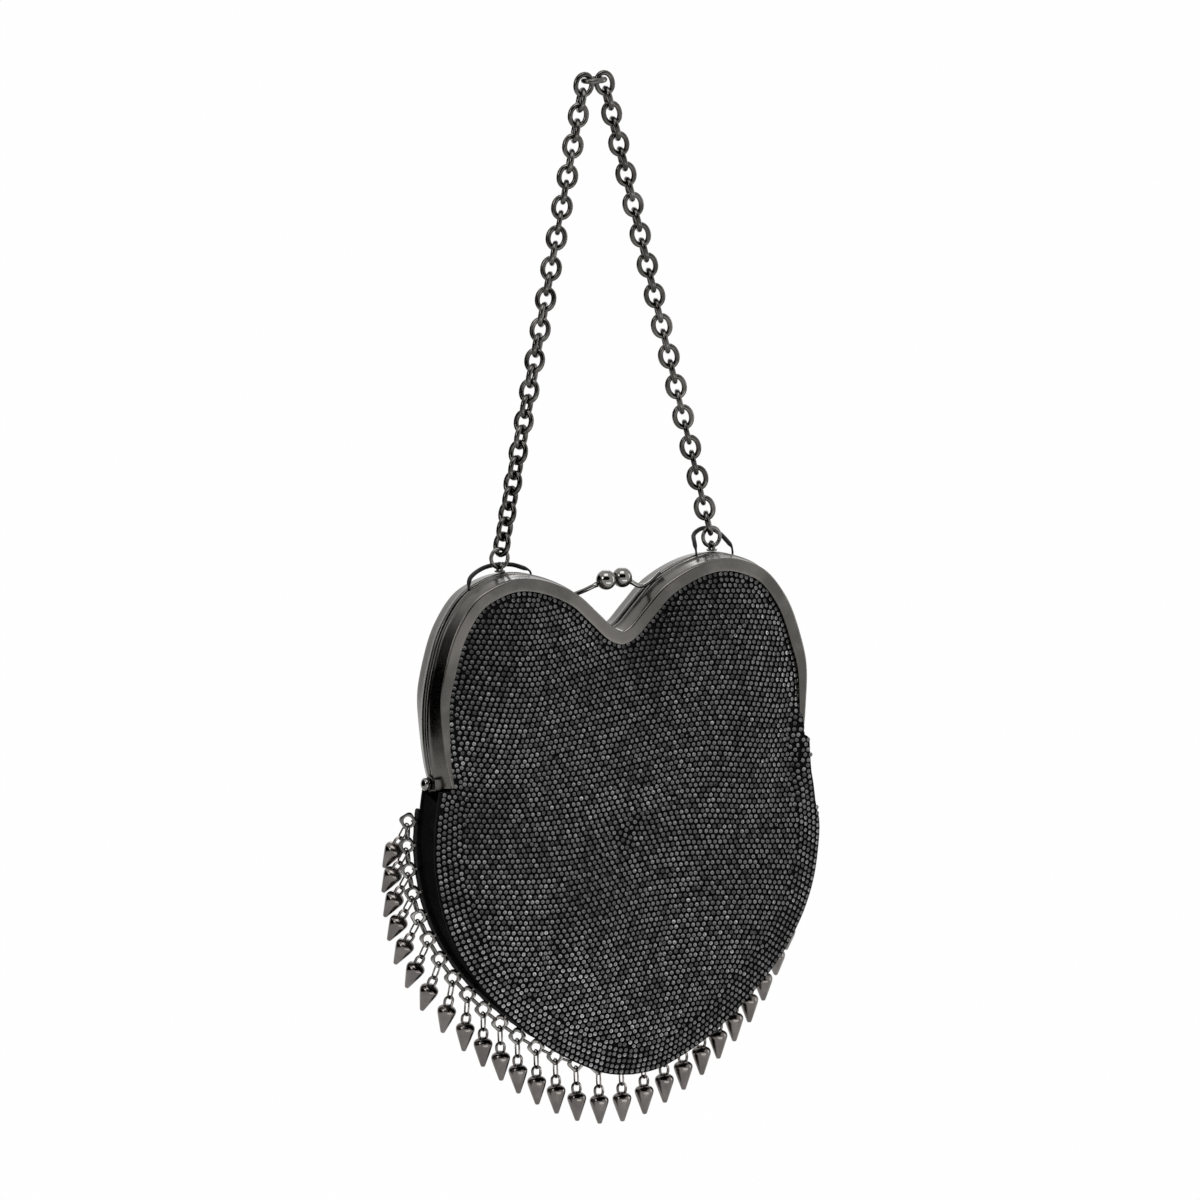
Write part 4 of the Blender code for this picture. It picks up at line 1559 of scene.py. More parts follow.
@dataclass
class StrapLoops:
    """Two black loops held between the frame halves."""

    finishes: Finishes
    wire: float = 0.0017
    foot: float = 0.0008
    foot_length: float = 0.0035
    taper: float = 0.0025
    step: float = 0.0007
    left: tuple = (
        (-0.0600, -0.0025, -0.1905), (-0.0598, -0.0023, -0.1870), (-0.0580, -0.0008, -0.1833),
        (-0.0515, 0.0026, -0.1810), (-0.0450, 0.0040, -0.1802), (-0.0385, 0.0034, -0.1806),
        (-0.0350, 0.0004, -0.1818), (-0.0335, -0.0022, -0.1829), (-0.0331, -0.0025, -0.1858),
    )
    right: tuple = (
        (0.0372, -0.0025, -0.1850), (0.0372, -0.0023, -0.1816), (0.0378, -0.0002, -0.1790),
        (0.0400, 0.0044, -0.1765), (0.0440, 0.0061, -0.1748), (0.0480, 0.0057, -0.1750),
        (0.0512, 0.0044, -0.1772), (0.0522, -0.0001, -0.1800), (0.0525, -0.0023, -0.1818),
        (0.0526, -0.0025, -0.1855),
    )

    def build(self) -> None:
        """Build both loops."""
        for hand, given in ((Hand.LEFT, self.left), (Hand.RIGHT, self.right)):
            points = spline([Vector(p) for p in given], self.step)
            lengths = lengths_of(points)
            radii = []
            for run in lengths:
                from_end = min(run, lengths[-1] - run)
                share = ease((from_end - self.foot_length) / self.taper)
                radii.append((self.foot + (self.wire - self.foot) * share) / 2)
            piece = rod("cord_loop_" + hand.word, points, radii, 12)
            dress(piece, [self.finishes.strap], REAR, "strap_loop_" + hand.word)


# ---------- pouch ----------


@dataclass(frozen=True)
class Dent:
    """A soft hollow or swelling of a panel, in metres."""

    x: float
    z: float
    width: float
    height: float
    depth: float
    turn: float = 0.0

    def at(self, x: float, z: float) -> float:
        """Work out the dent at one place.

        Args:
            x: Distance to the right of the middle of the bag.
            z: Height.

        Returns:
            How far the cloth stands out there; less than zero in a hollow.
        """
        a = math.radians(self.turn)
        dx, dz = x - self.x, z - self.z
        along_x = dx * math.cos(a) + dz * math.sin(a)
        along_z = dz * math.cos(a) - dx * math.sin(a)
        fall = (along_x / self.width) ** 2 + (along_z / self.height) ** 2
        return self.depth * math.exp(-fall)


class Spots:
    """Places of studs that keep a least distance from each other."""

    def __init__(self, least: float) -> None:
        """Start with no stud.

        Args:
            least: Distance that studs keep, at most the size of a search cell.
        """
        self.limit = least ** 2
        self.cell = 0.0024
        self.cells: dict = {}
        self.found: list = []

    def add(self, x: float, z: float) -> None:
        """Keep a place unless it is too close to one before it.

        Args:
            x: Distance to the right of the middle of the bag.
            z: Height.
        """
        a, b = int(x // self.cell), int(z // self.cell)
        for i in (a - 1, a, a + 1):
            for j in (b - 1, b, b + 1):
                for u, v in self.cells.get((i, j), ()):
                    if (u - x) ** 2 + (v - z) ** 2 < self.limit:
                        return
        self.cells.setdefault((a, b), []).append((x, z))
        self.found.append((x, z))


@dataclass
class Panel:
    """One studded panel of the pouch: a sagging cloth sheet covered with studs."""

    finishes: Finishes
    side: Side
    width: float
    depth: float
    dents: tuple = ()
    columns: int = 96
    rows: int = 60
    thickness: float = 0.0010
    knee_x: float = 0.0721
    knee_z: float = -0.2640
    edge_depth: float = 0.0084
    tip_depth: float = 0.0008
    bulge: float = 0.0056
    inset: float = 0.0006
    rim_flat: float = 0.0022
    rim_reach: float = 0.0300
    seam_reach: float = 0.0340
    dent_from_rim: float = 0.010
    dent_from_seam: float = 0.008
    hip_x: float = 0.060
    hip_rise: float = 0.0021
    hip_z: float = -0.2730
    hip_run: float = 0.0090
    leg_end_z: float = -0.2640
    leg_end_run: float = 0.0030
    shoulder_x: float = 0.0660
    shoulder_z: float = -0.2637
    shoulder_run: float = 0.0240
    shoulder_top: float = -0.2400
    edge_x: float = 0.0721
    edge_run: float = 0.0036
    rise: float = 0.0087
    rise_run: float = 0.0237
    rise_loss: float = 0.35
    loss_x: float = 0.0757
    loss_run: float = 0.0060
    cover_x: float = 0.0690
    cover_run: float = 0.0030
    cover_top_run: float = 0.0120
    cover_out: float = 0.0030
    cover_forward: float = 0.0022
    tuck: float = 0.0026
    tuck_z: float = -0.2665
    tuck_run: float = 0.0200
    stud_pitch: float = 0.00222
    stud_radius: float = 0.00083
    stud_height: float = 0.0006
    seam_row: float = -0.0014
    rim_row: float = 0.0028
    seam_rows: int = 5
    field: tuple = (0.086, 0.100)
    field_z: float = -0.282
    bare_z: tuple = (-0.380, -0.184)

    def __post_init__(self) -> None:
        """Work out the edges of the panel."""
        outline = mirrored(OUTLINE.rim_half(0.004))
        self.top = []
        for point, inward in zip(outline, right_normals(outline)):
            tucked = OUTLINE.band_width(point) - 0.0015
            clear = OUTLINE.wall_recess + OUTLINE.sheet + 0.0017
            self.top.append(point + inward * (OUTLINE.face_inset(point) + max(tucked, clear)))
        self.bottom = mirrored(OUTLINE.seam_half(self.width, self.depth, 0.004))
        self.top_flat = np.array([(p.x, p.z) for p in self.top])
        self.bottom_flat = np.array([(p.x, p.z) for p in self.bottom])

    @staticmethod
    def distance(path: np.ndarray, place: Vector) -> float:
        """Shortest distance in the XZ plane from a place to a path.

        Args:
            path: Points of the path, as rows of x and z.
            place: The place.

        Returns:
            The distance.
        """
        start, run = path[:-1], path[1:] - path[:-1]
        to = np.array((place.x, place.z)) - start
        t = np.clip((to * run).sum(1) / np.maximum((run * run).sum(1), 1e-12), 0, 1)
        return float(np.sqrt((((to - run * t[:, None])) ** 2).sum(1)).min())

    def place(self, i: int, j: int) -> Vector:
        """Place of one grid point on the middle surface of the cloth.

        Args:
            i: Column, from left to right.
            j: Row, from the frame down to the seam.

        Returns:
            The place.
        """
        share, t = i / self.columns, j / self.rows
        top, bottom = walk(self.top, share), walk(self.bottom, share)
        s = min(max((top.z - self.knee_z) / (top.z - bottom.z), 0.0), 1.0)
        knee = top.lerp(bottom, s)
        knee.x = min(max(knee.x, -self.knee_x), self.knee_x)
        knee.z = self.knee_z
        spot = top.lerp(knee, t * 2) if t <= 0.5 else knee.lerp(bottom, t * 2 - 1)
        spot.y = OUTLINE.parting_y + self.side.value * (self.pillow(spot, t) - self.inset)
        start = Vector(spot)
        if abs(spot.x) > self.hip_x:
            above_hip = ease((spot.z - self.hip_z) / self.hip_run)
            below_leg = 1 - ease((spot.z - self.leg_end_z) / self.leg_end_run)
            spot.z += self.hip_rise * above_hip * below_leg
        if self.side is Side.FRONT and spot.x > self.shoulder_x:
            self.shoulder(spot, start)
        return spot

    def pillow(self, spot: Vector, t: float) -> float:
        """Depth of the cloth: swollen in the middle, flat towards its edges, and dented.

        Args:
            spot: Place in the XZ plane.
            t: How far down the panel it lies, from 0 to 1.

        Returns:
            Distance from the parting plane.
        """
        from_top = self.distance(self.top_flat, spot)
        from_bottom = self.distance(self.bottom_flat, spot)
        rim = 1 - (1 - min(max(from_top - self.rim_flat, 0.0) / self.rim_reach, 1.0)) ** 2
        seam = 1 - (1 - min(from_bottom / self.seam_reach, 1.0)) ** 2
        depth = self.edge_depth + self.tip_depth * t + self.bulge * rim * seam
        held = ease(from_top / self.dent_from_rim) * ease(from_bottom / self.dent_from_seam)
        for dent in self.dents:
            depth += dent.at(spot.x, spot.z) * held
        return depth

    def shoulder(self, spot: Vector, start: Vector) -> None:
        """Let the cloth bulge over the right leg end of the frame.

        Args:
            spot: The grid point, which is moved.
            start: Where it was before the hips were shaped.
        """
        fall = 1 - ease((self.shoulder_z - start.z) / self.shoulder_run)
        outside = ease((start.x - self.edge_x) / self.edge_run)
        over = outside * fall * ease((self.shoulder_top - start.z) / self.rise_run)
        cover = fall * ease((start.x - self.cover_x) / self.cover_run)
        cover *= ease((self.shoulder_top - start.z) / self.cover_top_run)
        loss = self.rise_loss * ease((start.x - self.loss_x) / self.loss_run)
        spot.z += self.rise * over * (1 - loss)
        low = max(0.0, 1 - ((spot.z - self.tuck_z) / self.tuck_run) ** 2)
        spot.x += self.cover_out * cover * (1 - outside) - self.tuck * outside * low
        spot.y -= self.cover_forward * cover

    def build(self) -> None:
        """Build the cloth and its studs."""
        word = self.side.word
        cloth = shaped_grid(
            "pouch_cloth_" + word, self.columns, self.rows, self.place, closed=False,
        )
        mesh = cloth.data
        tree = BVHTree.FromPolygons(
            [v.co.copy() for v in mesh.vertices], [list(p.vertices) for p in mesh.polygons],
        )
        make_cloth(cloth, self.thickness)
        put(cloth, [self.finishes.cloth])
        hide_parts(word + "_panel")
        self.carry(cloth)
        self.studs(tree, word)

    def carry(self, piece: Item) -> None:
        """Let a piece follow the rear half, or in front what the front half pulls along.

        Args:
            piece: The cloth or a piece of studs.
        """
        if self.side is Side.REAR:
            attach(piece, REAR)
        else:
            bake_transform(piece)
        report(piece)

    def row(self, spots: Spots, path: Sequence[Vector], away: float, shift: float) -> None:
        """Set one row of studs beside an edge.

        Args:
            spots: Where the studs are kept.
            path: The edge.
            away: Distance from the edge, to its right.
            shift: Start of the row, as a share of the pitch.
        """
        line = np.array([
            (p.x + n.x * away, p.z + n.z * away) for p, n in zip(path, right_normals(path))
        ])
        run = np.concatenate(([0.0], np.cumsum(np.hypot(*np.diff(line, axis=0).T))))
        places = np.arange(self.stud_pitch * shift, run[-1], self.stud_pitch * 1.01)
        for x, z in zip(np.interp(places, run, line[:, 0]), np.interp(places, run, line[:, 1])):
            spots.add(float(x), float(z))

    def lattice(self) -> np.ndarray:
        """Set rows of studs along the edges, and a bent close lattice between them.

        Returns:
            The places in XZ, one row of the array for each stud.
        """
        start = 0.4 if self.side is Side.FRONT else 2.1
        spots = Spots(self.stud_pitch * 0.84)
        self.row(spots, self.bottom, self.seam_row, 0.25)
        self.row(spots, self.top, self.rim_row, 0.5)
        fixed = len(spots.found)
        for number in range(1, self.seam_rows):
            away = self.seam_row - self.stud_pitch * 0.90 * number
            self.row(spots, self.bottom, away, 0.25 + 0.5 * (number % 2))
        row_step = self.stud_pitch * math.sqrt(3) / 2
        wide, high = self.field
        for row in range(-60, 61):
            for column in range(-50, 51):
                u, v = (column + (row % 2) / 2) * self.stud_pitch, row * row_step
                x = u + 0.0022 * math.sin(v * 55.0 + start)
                x += 0.0005 * math.sin(v * 120.0 + u * 40.0)
                z = v + 0.0026 * math.sin(u * 50.0 + start)
                z += 0.0005 * math.sin(u * 110.0 - v * 60.0)
                if -wide < x < wide and -high < z < high:
                    spots.add(x, z + self.field_z)
        found = np.array(spots.found)
        for rounds in (8, 8, 6):
            found = self.settled(found, fixed, rounds)
            found = self.filled(found) if rounds == 8 else found
        rng = np.random.default_rng(5)
        found[fixed:] += rng.normal(0.0, self.stud_pitch * 0.035, found[fixed:].shape)
        return found

    def filled(self, found: np.ndarray) -> np.ndarray:
        """Add a stud wherever the cloth would show bare.

        Args:
            found: Places of all studs.

        Returns:
            The places with the new ones at the end.
        """
        tree = self.near(found)
        spots = Spots(self.stud_pitch * 0.86)
        step = self.stud_pitch * 0.3
        for x in np.arange(-self.field[0], self.field[0], step):
            for z in np.arange(*self.bare_z, step):
                if tree.find((x, 0.0, z))[2] > self.stud_pitch * 0.72:
                    spots.add(float(x), float(z))
        return np.vstack([found, np.array(spots.found).reshape(-1, 2)])

    @staticmethod
    def near(found: np.ndarray) -> KDTree:
        """Put the studs' places into a search tree.

        Args:
            found: Places of all studs.

        Returns:
            The tree.
        """
        tree = KDTree(len(found))
        for i, (x, z) in enumerate(found):
            tree.insert((x, 0.0, z), i)
        tree.balance()
        return tree

    def settled(self, found: np.ndarray, fixed: int, rounds: int) -> np.ndarray:
        """Push studs that stand too close apart, as they settle when they are set.

        Args:
            found: Places of all studs.
            fixed: How many at the start keep their place.
            rounds: How often all are pushed.

        Returns:
            The new places.
        """
        reach = self.stud_pitch * 1.04
        for _ in range(rounds):
            tree = self.near(found)
            moved = found.copy()
            for i in range(fixed, len(found)):
                x, z = float(found[i][0]), float(found[i][1])
                push_x = push_z = 0.0
                for near, _, gap in tree.find_range((x, 0.0, z), reach):
                    if gap > 1e-7:
                        pull = (reach - gap) / gap
                        push_x += (x - near.x) * pull
                        push_z += (z - near.z) * pull
                moved[i] = (x + push_x * 0.24, z + push_z * 0.24)
            found = moved
        return found

    def stud(self) -> tuple:
        """Model one stud: a low drum with a chamfer, a flat top and a small hollow.

        Returns:
            The stud and, for each of its points, how much painted shade it gets: full at the
            dimple's centre and round the base, half on the top's outer edge.
        """
        deselect()
        bpy.ops.mesh.primitive_cylinder_add(
            vertices=8, radius=self.stud_radius, depth=self.stud_height,
        )
        item = settle(bpy.context.object, "stud")
        points = item.data.vertices
        for face in item.data.polygons:
            face.select = face.normal.z > 0.9
        for edge in item.data.edges:
            edge.select = all(points[v].co.z > 0.0 for v in edge.vertices)
        for point in points:
            point.select = point.co.z > 0.0
        with edit_mode(item, everything=False):
            bpy.ops.mesh.inset(thickness=self.stud_radius * 0.08, depth=0.0)
            bpy.ops.transform.translate(value=(0.0, 0.0, 0.00007))
            bpy.ops.mesh.inset(thickness=self.stud_radius * 0.50, depth=0.0)
            bpy.ops.mesh.poke(offset=-0.00016, use_relative_offset=False)
        # Painted shade: the base ring and the dimple's centre get full painted shade, the top's
        # outer edge half.
        painted_shades = []
        for point in item.data.vertices:
            out = math.hypot(point.co.x, point.co.y) / self.stud_radius
            painted_shades.append(1.0 if point.co.z < 0.0 or out < 0.2 else 0.5 * (out > 0.96))
        return item, painted_shades

    def studs(self, tree: BVHTree, word: str) -> None:
        """Set the studs on the cloth.

        Args:
            tree: The middle surface of the cloth.
            word: Name part of this panel.
        """
        rng = np.random.default_rng(21)
        outward = Y_AXIS * self.side.value
        halves: dict = {Hand.LEFT: ([], []), Hand.RIGHT: ([], [])}
        for x, z in self.lattice():
            x, z = float(x), float(z)
            origin = Vector((x, OUTLINE.parting_y, z)) + outward * 0.05
            hit, normal, _, _ = tree.ray_cast(origin, -outward)
            if hit is None:
                continue
            if normal.dot(outward) < 0:
                normal = -normal
            loose = 0.30 if rng.uniform() > 0.992 else 0.045
            normal = (normal + Vector(rng.normal(0.0, loose, 3))).normalized()
            place = hit + normal * (self.thickness / 2 + 0.00022)
            if self.distance(self.bottom_flat, place) < 0.0009:
                continue
            tone = float(np.clip(rng.normal(0.46, 0.22), 0.0, 1.0))
            places, tones = halves[Hand.LEFT if x < 0 else Hand.RIGHT]
            spin = rng.uniform(0.0, math.tau)
            places.append(along(normal, Vector((math.cos(spin), 0.0, math.sin(spin))), place))
            tones.append(tone)
        pattern, painted_shades = self.stud()
        for hand, (places, tones) in halves.items():
            name = "studs_" + word + "_" + hand.word
            piece = copies(pattern, places, name, tones, 30.0, painted_shades)
            put(piece, [self.finishes.studs])
            self.carry(piece)
        remove(pattern)


@dataclass
class Gusset:
    """Black strip that joins the two panels round the pouch, and the fold in the notch."""

    finishes: Finishes
    stations: int = 150
    across: int = 14
    width: float = 0.988
    waist: float = 0.970
    thickness: float = 0.0008
    front_y: float = -0.0091
    depth: float = 0.0176
    front_z: float = -0.2660
    middle_z: float = -0.2682
    rear_z: float = -0.2655
    lift: float = 0.0013
    inner_z: float = -0.300
    fold_reach: int = 22
    fold_rows: int = 8
    fold_thickness: float = 0.0005

    def build(self) -> None:
        """Build the strip and the lining fold."""
        self.strip()
        self.fold()

    def strip(self) -> None:
        """Build the gusset as a thin sheet with soft folds."""
        front = mirrored(OUTLINE.seam_half(self.width, 1.0, 0.003))
        rear = mirrored(
            OUTLINE.seam_half(OUTLINE.rear_width * self.width, OUTLINE.rear_depth, 0.003)
        )
        middle = [a.lerp(b, 0.5) for a, b in zip(front, rear)]
        front, rear = self.below(front, self.front_z), self.below(rear, self.rear_z)
        middle = self.below(middle, self.middle_z)

        def place(i: int, j: int) -> Vector:
            """Place of one grid point of the strip.

            Args:
                i: Column, round the pouch from left to right.
                j: Row, from front to rear.

            Returns:
                The place.
            """
            share, t = i / self.stations, j / self.across
            a, b, c = walk(front, share), walk(middle, share), walk(rear, share)
            b.x *= self.waist
            if t <= 0.5:
                spot = a.lerp(b, ease(t * 2) * 0.4 + t * 1.2)
            else:
                spot = b.lerp(c, ease(t * 2 - 1) * 0.4 + (t * 2 - 1) * 0.6)
            swell = math.sin(math.pi * t)
            fold = math.sin(share * 95.0 + 3.0 * math.sin(share * 17.0) + 2.0 * t) * swell
            fold += 0.5 * math.sin(share * 210.0 + 9.0 * t) * swell
            inward = Vector((-spot.x, 0.0, self.inner_z - spot.z)).normalized()
            spot = spot + inward * (0.0002 + 0.00035 * (1 + fold))
            spot.z += self.lift
            spot.y = OUTLINE.parting_y + self.front_y + self.depth * t
            return spot

        piece = shaped_grid("side_gusset", self.stations, self.across, place, closed=False)
        make_cloth(piece, self.thickness)
        dress(piece, [self.finishes.cloth], REAR, "gusset")

    @staticmethod
    def below(points: Sequence[Vector], z: float) -> list[Vector]:
        """Cut an outline at a height.

        Args:
            points: The outline.
            z: The height.

        Returns:
            The part under the height, with an end at the height on each side.
        """
        inside = [p.copy() for p in points if p.z < z]
        first, last = inside[0], inside[-1]
        return [Vector((first.x, first.y, z))] + inside + [Vector((last.x, last.y, z))]

    def fold(self) -> None:
        """Build the fold of lining that shows in the notch."""
        outline = mirrored(OUTLINE.rim_half(0.002))
        normals = right_normals(outline)
        first = len(outline) // 2 - self.fold_reach

        def place(i: int, j: int) -> Vector:
            """Place of one grid point of the fold.

            Args:
                i: Column, along the notch.
                j: Row, from the lip inwards.

            Returns:
                The place.
            """
            t = j / self.fold_rows
            wave = 0.00022 * math.sin(i * 0.9) * t
            inward = normals[first + i] * (0.0010 + 0.0036 * t)
            return outline[first + i] + inward + Y_AXIS * (OUTLINE.parting_y + wave)

        piece = shaped_grid(
            "lining_fold", self.fold_reach * 2, self.fold_rows, place, closed=False,
        )
        make_cloth(piece, self.fold_thickness)
        dress(piece, [self.finishes.cloth], REAR, "notch_lining")


# ---------- fringe ----------


@dataclass
class Fringe:
    """Web of four-lobed stars along the rear seam, with a cone spike on each star."""

    finishes: Finishes
    count: int = 16
    pitch: float = 0.0088
    depth_y: float = 0.0067
    star_offset: float = 0.0045
    lobe: float = 0.0028
    hole: float = 0.0020
    plate_lobe: float = 0.0034
    plate_waist: float = 0.0028
    plate_hole: float = 0.00165
    wire: float = 0.0007
    web_wire: float = 0.0010
    loop_top: float = 0.0067
    loop_height: float = 0.00375
    loop_width: float = 0.0045
    loop_wire: float = 0.0011
    spike_length: float = 0.0113
    spike_radius: float = 0.0036
    lean_from: float = 0.62
    lean_run: float = 0.36
    lean_drop: tuple = (0.30, 0.62, -1.0)
    plate_thickness: float = 0.0009
    plate_edge: float = 0.00022
    sway: float = 0.28
    seam_ring: tuple = (0.0042, 0.0034)
    side_ring: tuple = (0.0056, 0.0032)
    seam_ring_away: float = 0.0035
    hanging_width: float = 0.0036
    piping_radius: float = 0.00100
    piping_away: float = 0.0008
    piping_steps: int = 110
    spike_shares: tuple = (
        (0.0, 0.0), (0.0, 0.24), (0.012, 0.30), (0.030, 0.42), (0.055, 0.60), (0.085, 0.76),
        (0.120, 0.88), (0.160, 0.96), (0.200, 0.995), (0.240, 1.0), (0.290, 0.975),
        (0.360, 0.915), (0.600, 0.655), (0.850, 0.375), (0.965, 0.245), (0.990, 0.195),
        (1.0, 0.12), (1.0, 0.0),
    )

    def places(self) -> list[tuple]:
        """Work out where the spikes hang.

        Returns:
            Seam point, star centre and hanging direction of each spike, left to right.
        """
        half = OUTLINE.seam_half(OUTLINE.rear_width, OUTLINE.rear_depth, 0.0090)
        total = lengths_of(half)[-1]
        sideways, back, down = self.lean_drop
        result = []
        for hand in Hand:
            found = []
            for k in range(self.count):
                run = self.pitch * (k + 0.5)
                seam = walk(half, run / total)
                behind = walk(half, (run - self.pitch / 2) / total)
                ahead = walk(half, (run + self.pitch / 2) / total)
                tangent = (ahead - behind).normalized()
                outward = Vector((tangent.z, 0.0, -tangent.x))
                lean = ease((tangent.z - self.lean_from) / self.lean_run)
                drop = Vector((sideways * lean, back * lean, down)).normalized()
                star = seam + outward * self.star_offset
                for vector in (seam, star, drop):
                    vector.x *= hand.value
                seam.y = self.depth_y
                star.y = self.depth_y
                found.append((seam, star, drop))
            if hand is Hand.LEFT:
                found.reverse()
            result.extend(found)
        return result

    def build(self) -> None:
        """Build the trim and every spike."""
        places = self.places()
        self.trim(places)
        pattern = self.spike()
        for number, (_, star, drop) in enumerate(places, start=1):
            down = Vector((drop.x, 0.0, drop.z)).normalized()
            side = (X_AXIS - drop * X_AXIS.dot(drop)).normalized()
            turn = Matrix((side, side.cross(drop), drop * -1)).transposed().to_4x4()
            place = Matrix.Translation(star + down * ((self.lobe + self.hole) / 2)) @ turn
            word = "%02d" % number
            piece = copies(pattern, [place], "cone_drop_" + word)
            body = "hanging_spike_" + word
            dress(piece, [self.finishes.spike], body, "spike_" + word)
        remove(pattern)

    def star(self) -> Item:
        """Model one star: four round lobes, a round hole and soft edges.

        Returns:
            The star at the origin, in the XY plane.
        """
        deselect()
        bpy.ops.mesh.primitive_circle_add(vertices=24, radius=1.0, fill_type="NOTHING")
        item = settle(bpy.context.object, "star")
        for vertex in item.data.vertices:
            angle = math.atan2(vertex.co.y, vertex.co.x)
            bulge = (0.5 + 0.5 * math.cos(4 * angle)) ** 1.2
            radius = self.plate_waist + (self.plate_lobe - self.plate_waist) * bulge
            vertex.co = Vector((math.cos(angle), math.sin(angle), 0.0)) * radius
        with edit_mode(item):
            bpy.ops.mesh.extrude_region_move()
        for vertex in item.data.vertices:
            if vertex.select:
                angle = math.atan2(vertex.co.y, vertex.co.x)
                vertex.co = Vector((math.cos(angle), math.sin(angle), 0.0)) * self.plate_hole
        solidify(item, self.plate_thickness)
        soft = item.modifiers.new("soft", "BEVEL")
        soft.width = self.plate_edge
        soft.segments = 2
        bpy.ops.object.modifier_apply(modifier=soft.name)
        with edit_mode(item):
            bpy.ops.mesh.normals_make_consistent(inside=False)
        return item

    def trim(self, places: Sequence[tuple]) -> None:
        """Build the stars, their rings and the cord along the seam.

        Args:
            places: What places() gives.
        """
        star_places, seam_rings, side_rings = [], [], []
        rng = np.random.default_rng(3)
        for seam, centre, drop in places:
            down = Vector((drop.x, 0.0, drop.z)).normalized()
            sideways = -math.copysign(self.sway, centre.x) + rng.normal(0.0, 0.05)
            facing = Vector((sideways, 1.0, rng.normal(0.04, 0.05)))
            star_places.append(along(facing, -down, centre))
            inward = (seam - centre).normalized()
            seam_rings.append(along(inward, X_AXIS, centre + inward * self.seam_ring_away))
        for (_, first, _), (_, second, _) in zip(places, places[1:]):
            side_rings.append(along(second - first, Z_AXIS, (first + second) / 2))
        parts = [spread(self.star(), star_places, "stars", 35.0)]
        for name, size, matrices in (
            ("seam_ring", self.seam_ring, seam_rings), ("side_ring", self.side_ring, side_rings),
        ):
            ring = oval(name, *size, self.web_wire, 14, 7)
            parts.append(spread(ring, matrices, name + "s", SOFT_CREASE))
        self.piping()
        dress(joined("star_trim", parts), [self.finishes.star], REAR, "fringe_trim")

    def piping(self) -> None:
        """Build the black cord along the rear seam that the stars are sewn to."""
        half = OUTLINE.seam_half(OUTLINE.rear_width, OUTLINE.rear_depth, 0.003)
        reach = self.pitch * self.count / lengths_of(half)[-1]
        steps = self.piping_steps
        run = [walk(half, reach * k / steps) for k in range(steps + 1)]
        path = []
        for point, outward in zip(run, right_normals(run)):
            place = point + outward * self.piping_away
            place.y = self.depth_y
            path.append(place)
        path[0].x = 0.0
        full = mirrored(path)
        radii = [self.piping_radius * (1.0 + 0.06 * math.sin(k * 1.7)) for k in range(len(full))]
        piece = rod("seam_piping", full, radii, 10, True)
        dress(piece, [self.finishes.strap], REAR)

    def spike(self) -> Item:
        """Model one cone spike with its loop and hanging ring.

        Returns:
            The spike, with the point that it swings about at the origin.
        """
        pivot = (self.lobe + self.hole) / 2
        top = pivot - self.loop_top
        body_top = top - self.loop_height
        profile = [
            (body_top - a * self.spike_length, b * self.spike_radius)
            for a, b in self.spike_shares
        ]
        body = spun("spike_body", profile, 28)
        half = (self.loop_width - self.loop_wire) / 2
        arc = top - self.loop_wire / 2 - half
        foot = body_top - self.spike_length * 0.06
        middle = (foot + arc) / 2
        points = [Vector((half * 0.75, 0.0, foot)), Vector((half * 0.97, 0.0, middle))]
        for k in range(13):
            angle = math.pi * k / 12
            points.append(Vector((math.cos(angle) * half, 0.0, arc + math.sin(angle) * half)))
        points += [Vector((-half * 0.97, 0.0, middle)), Vector((-half * 0.75, 0.0, foot))]
        loop = rod("spike_loop", points, [self.loop_wire / 2] * len(points), 8)
        ring_top = pivot - (self.hole - 0.00070) + self.wire
        ring_low = top - self.loop_wire - self.wire + 0.00005
        ring = oval("hanging_ring", ring_top - ring_low, self.hanging_width, self.wire, 18, 8)
        place = Matrix.Translation((0.0, 0.0, (ring_top + ring_low) / 2))
        place = place @ Matrix.Rotation(math.pi / 2, 4, "Z")
        item = joined("spike", [body, loop, spread(ring, [place], "ring", SOFT_CREASE)])
        smooth(item, 45.0)
        return item


# ---------- studio ----------


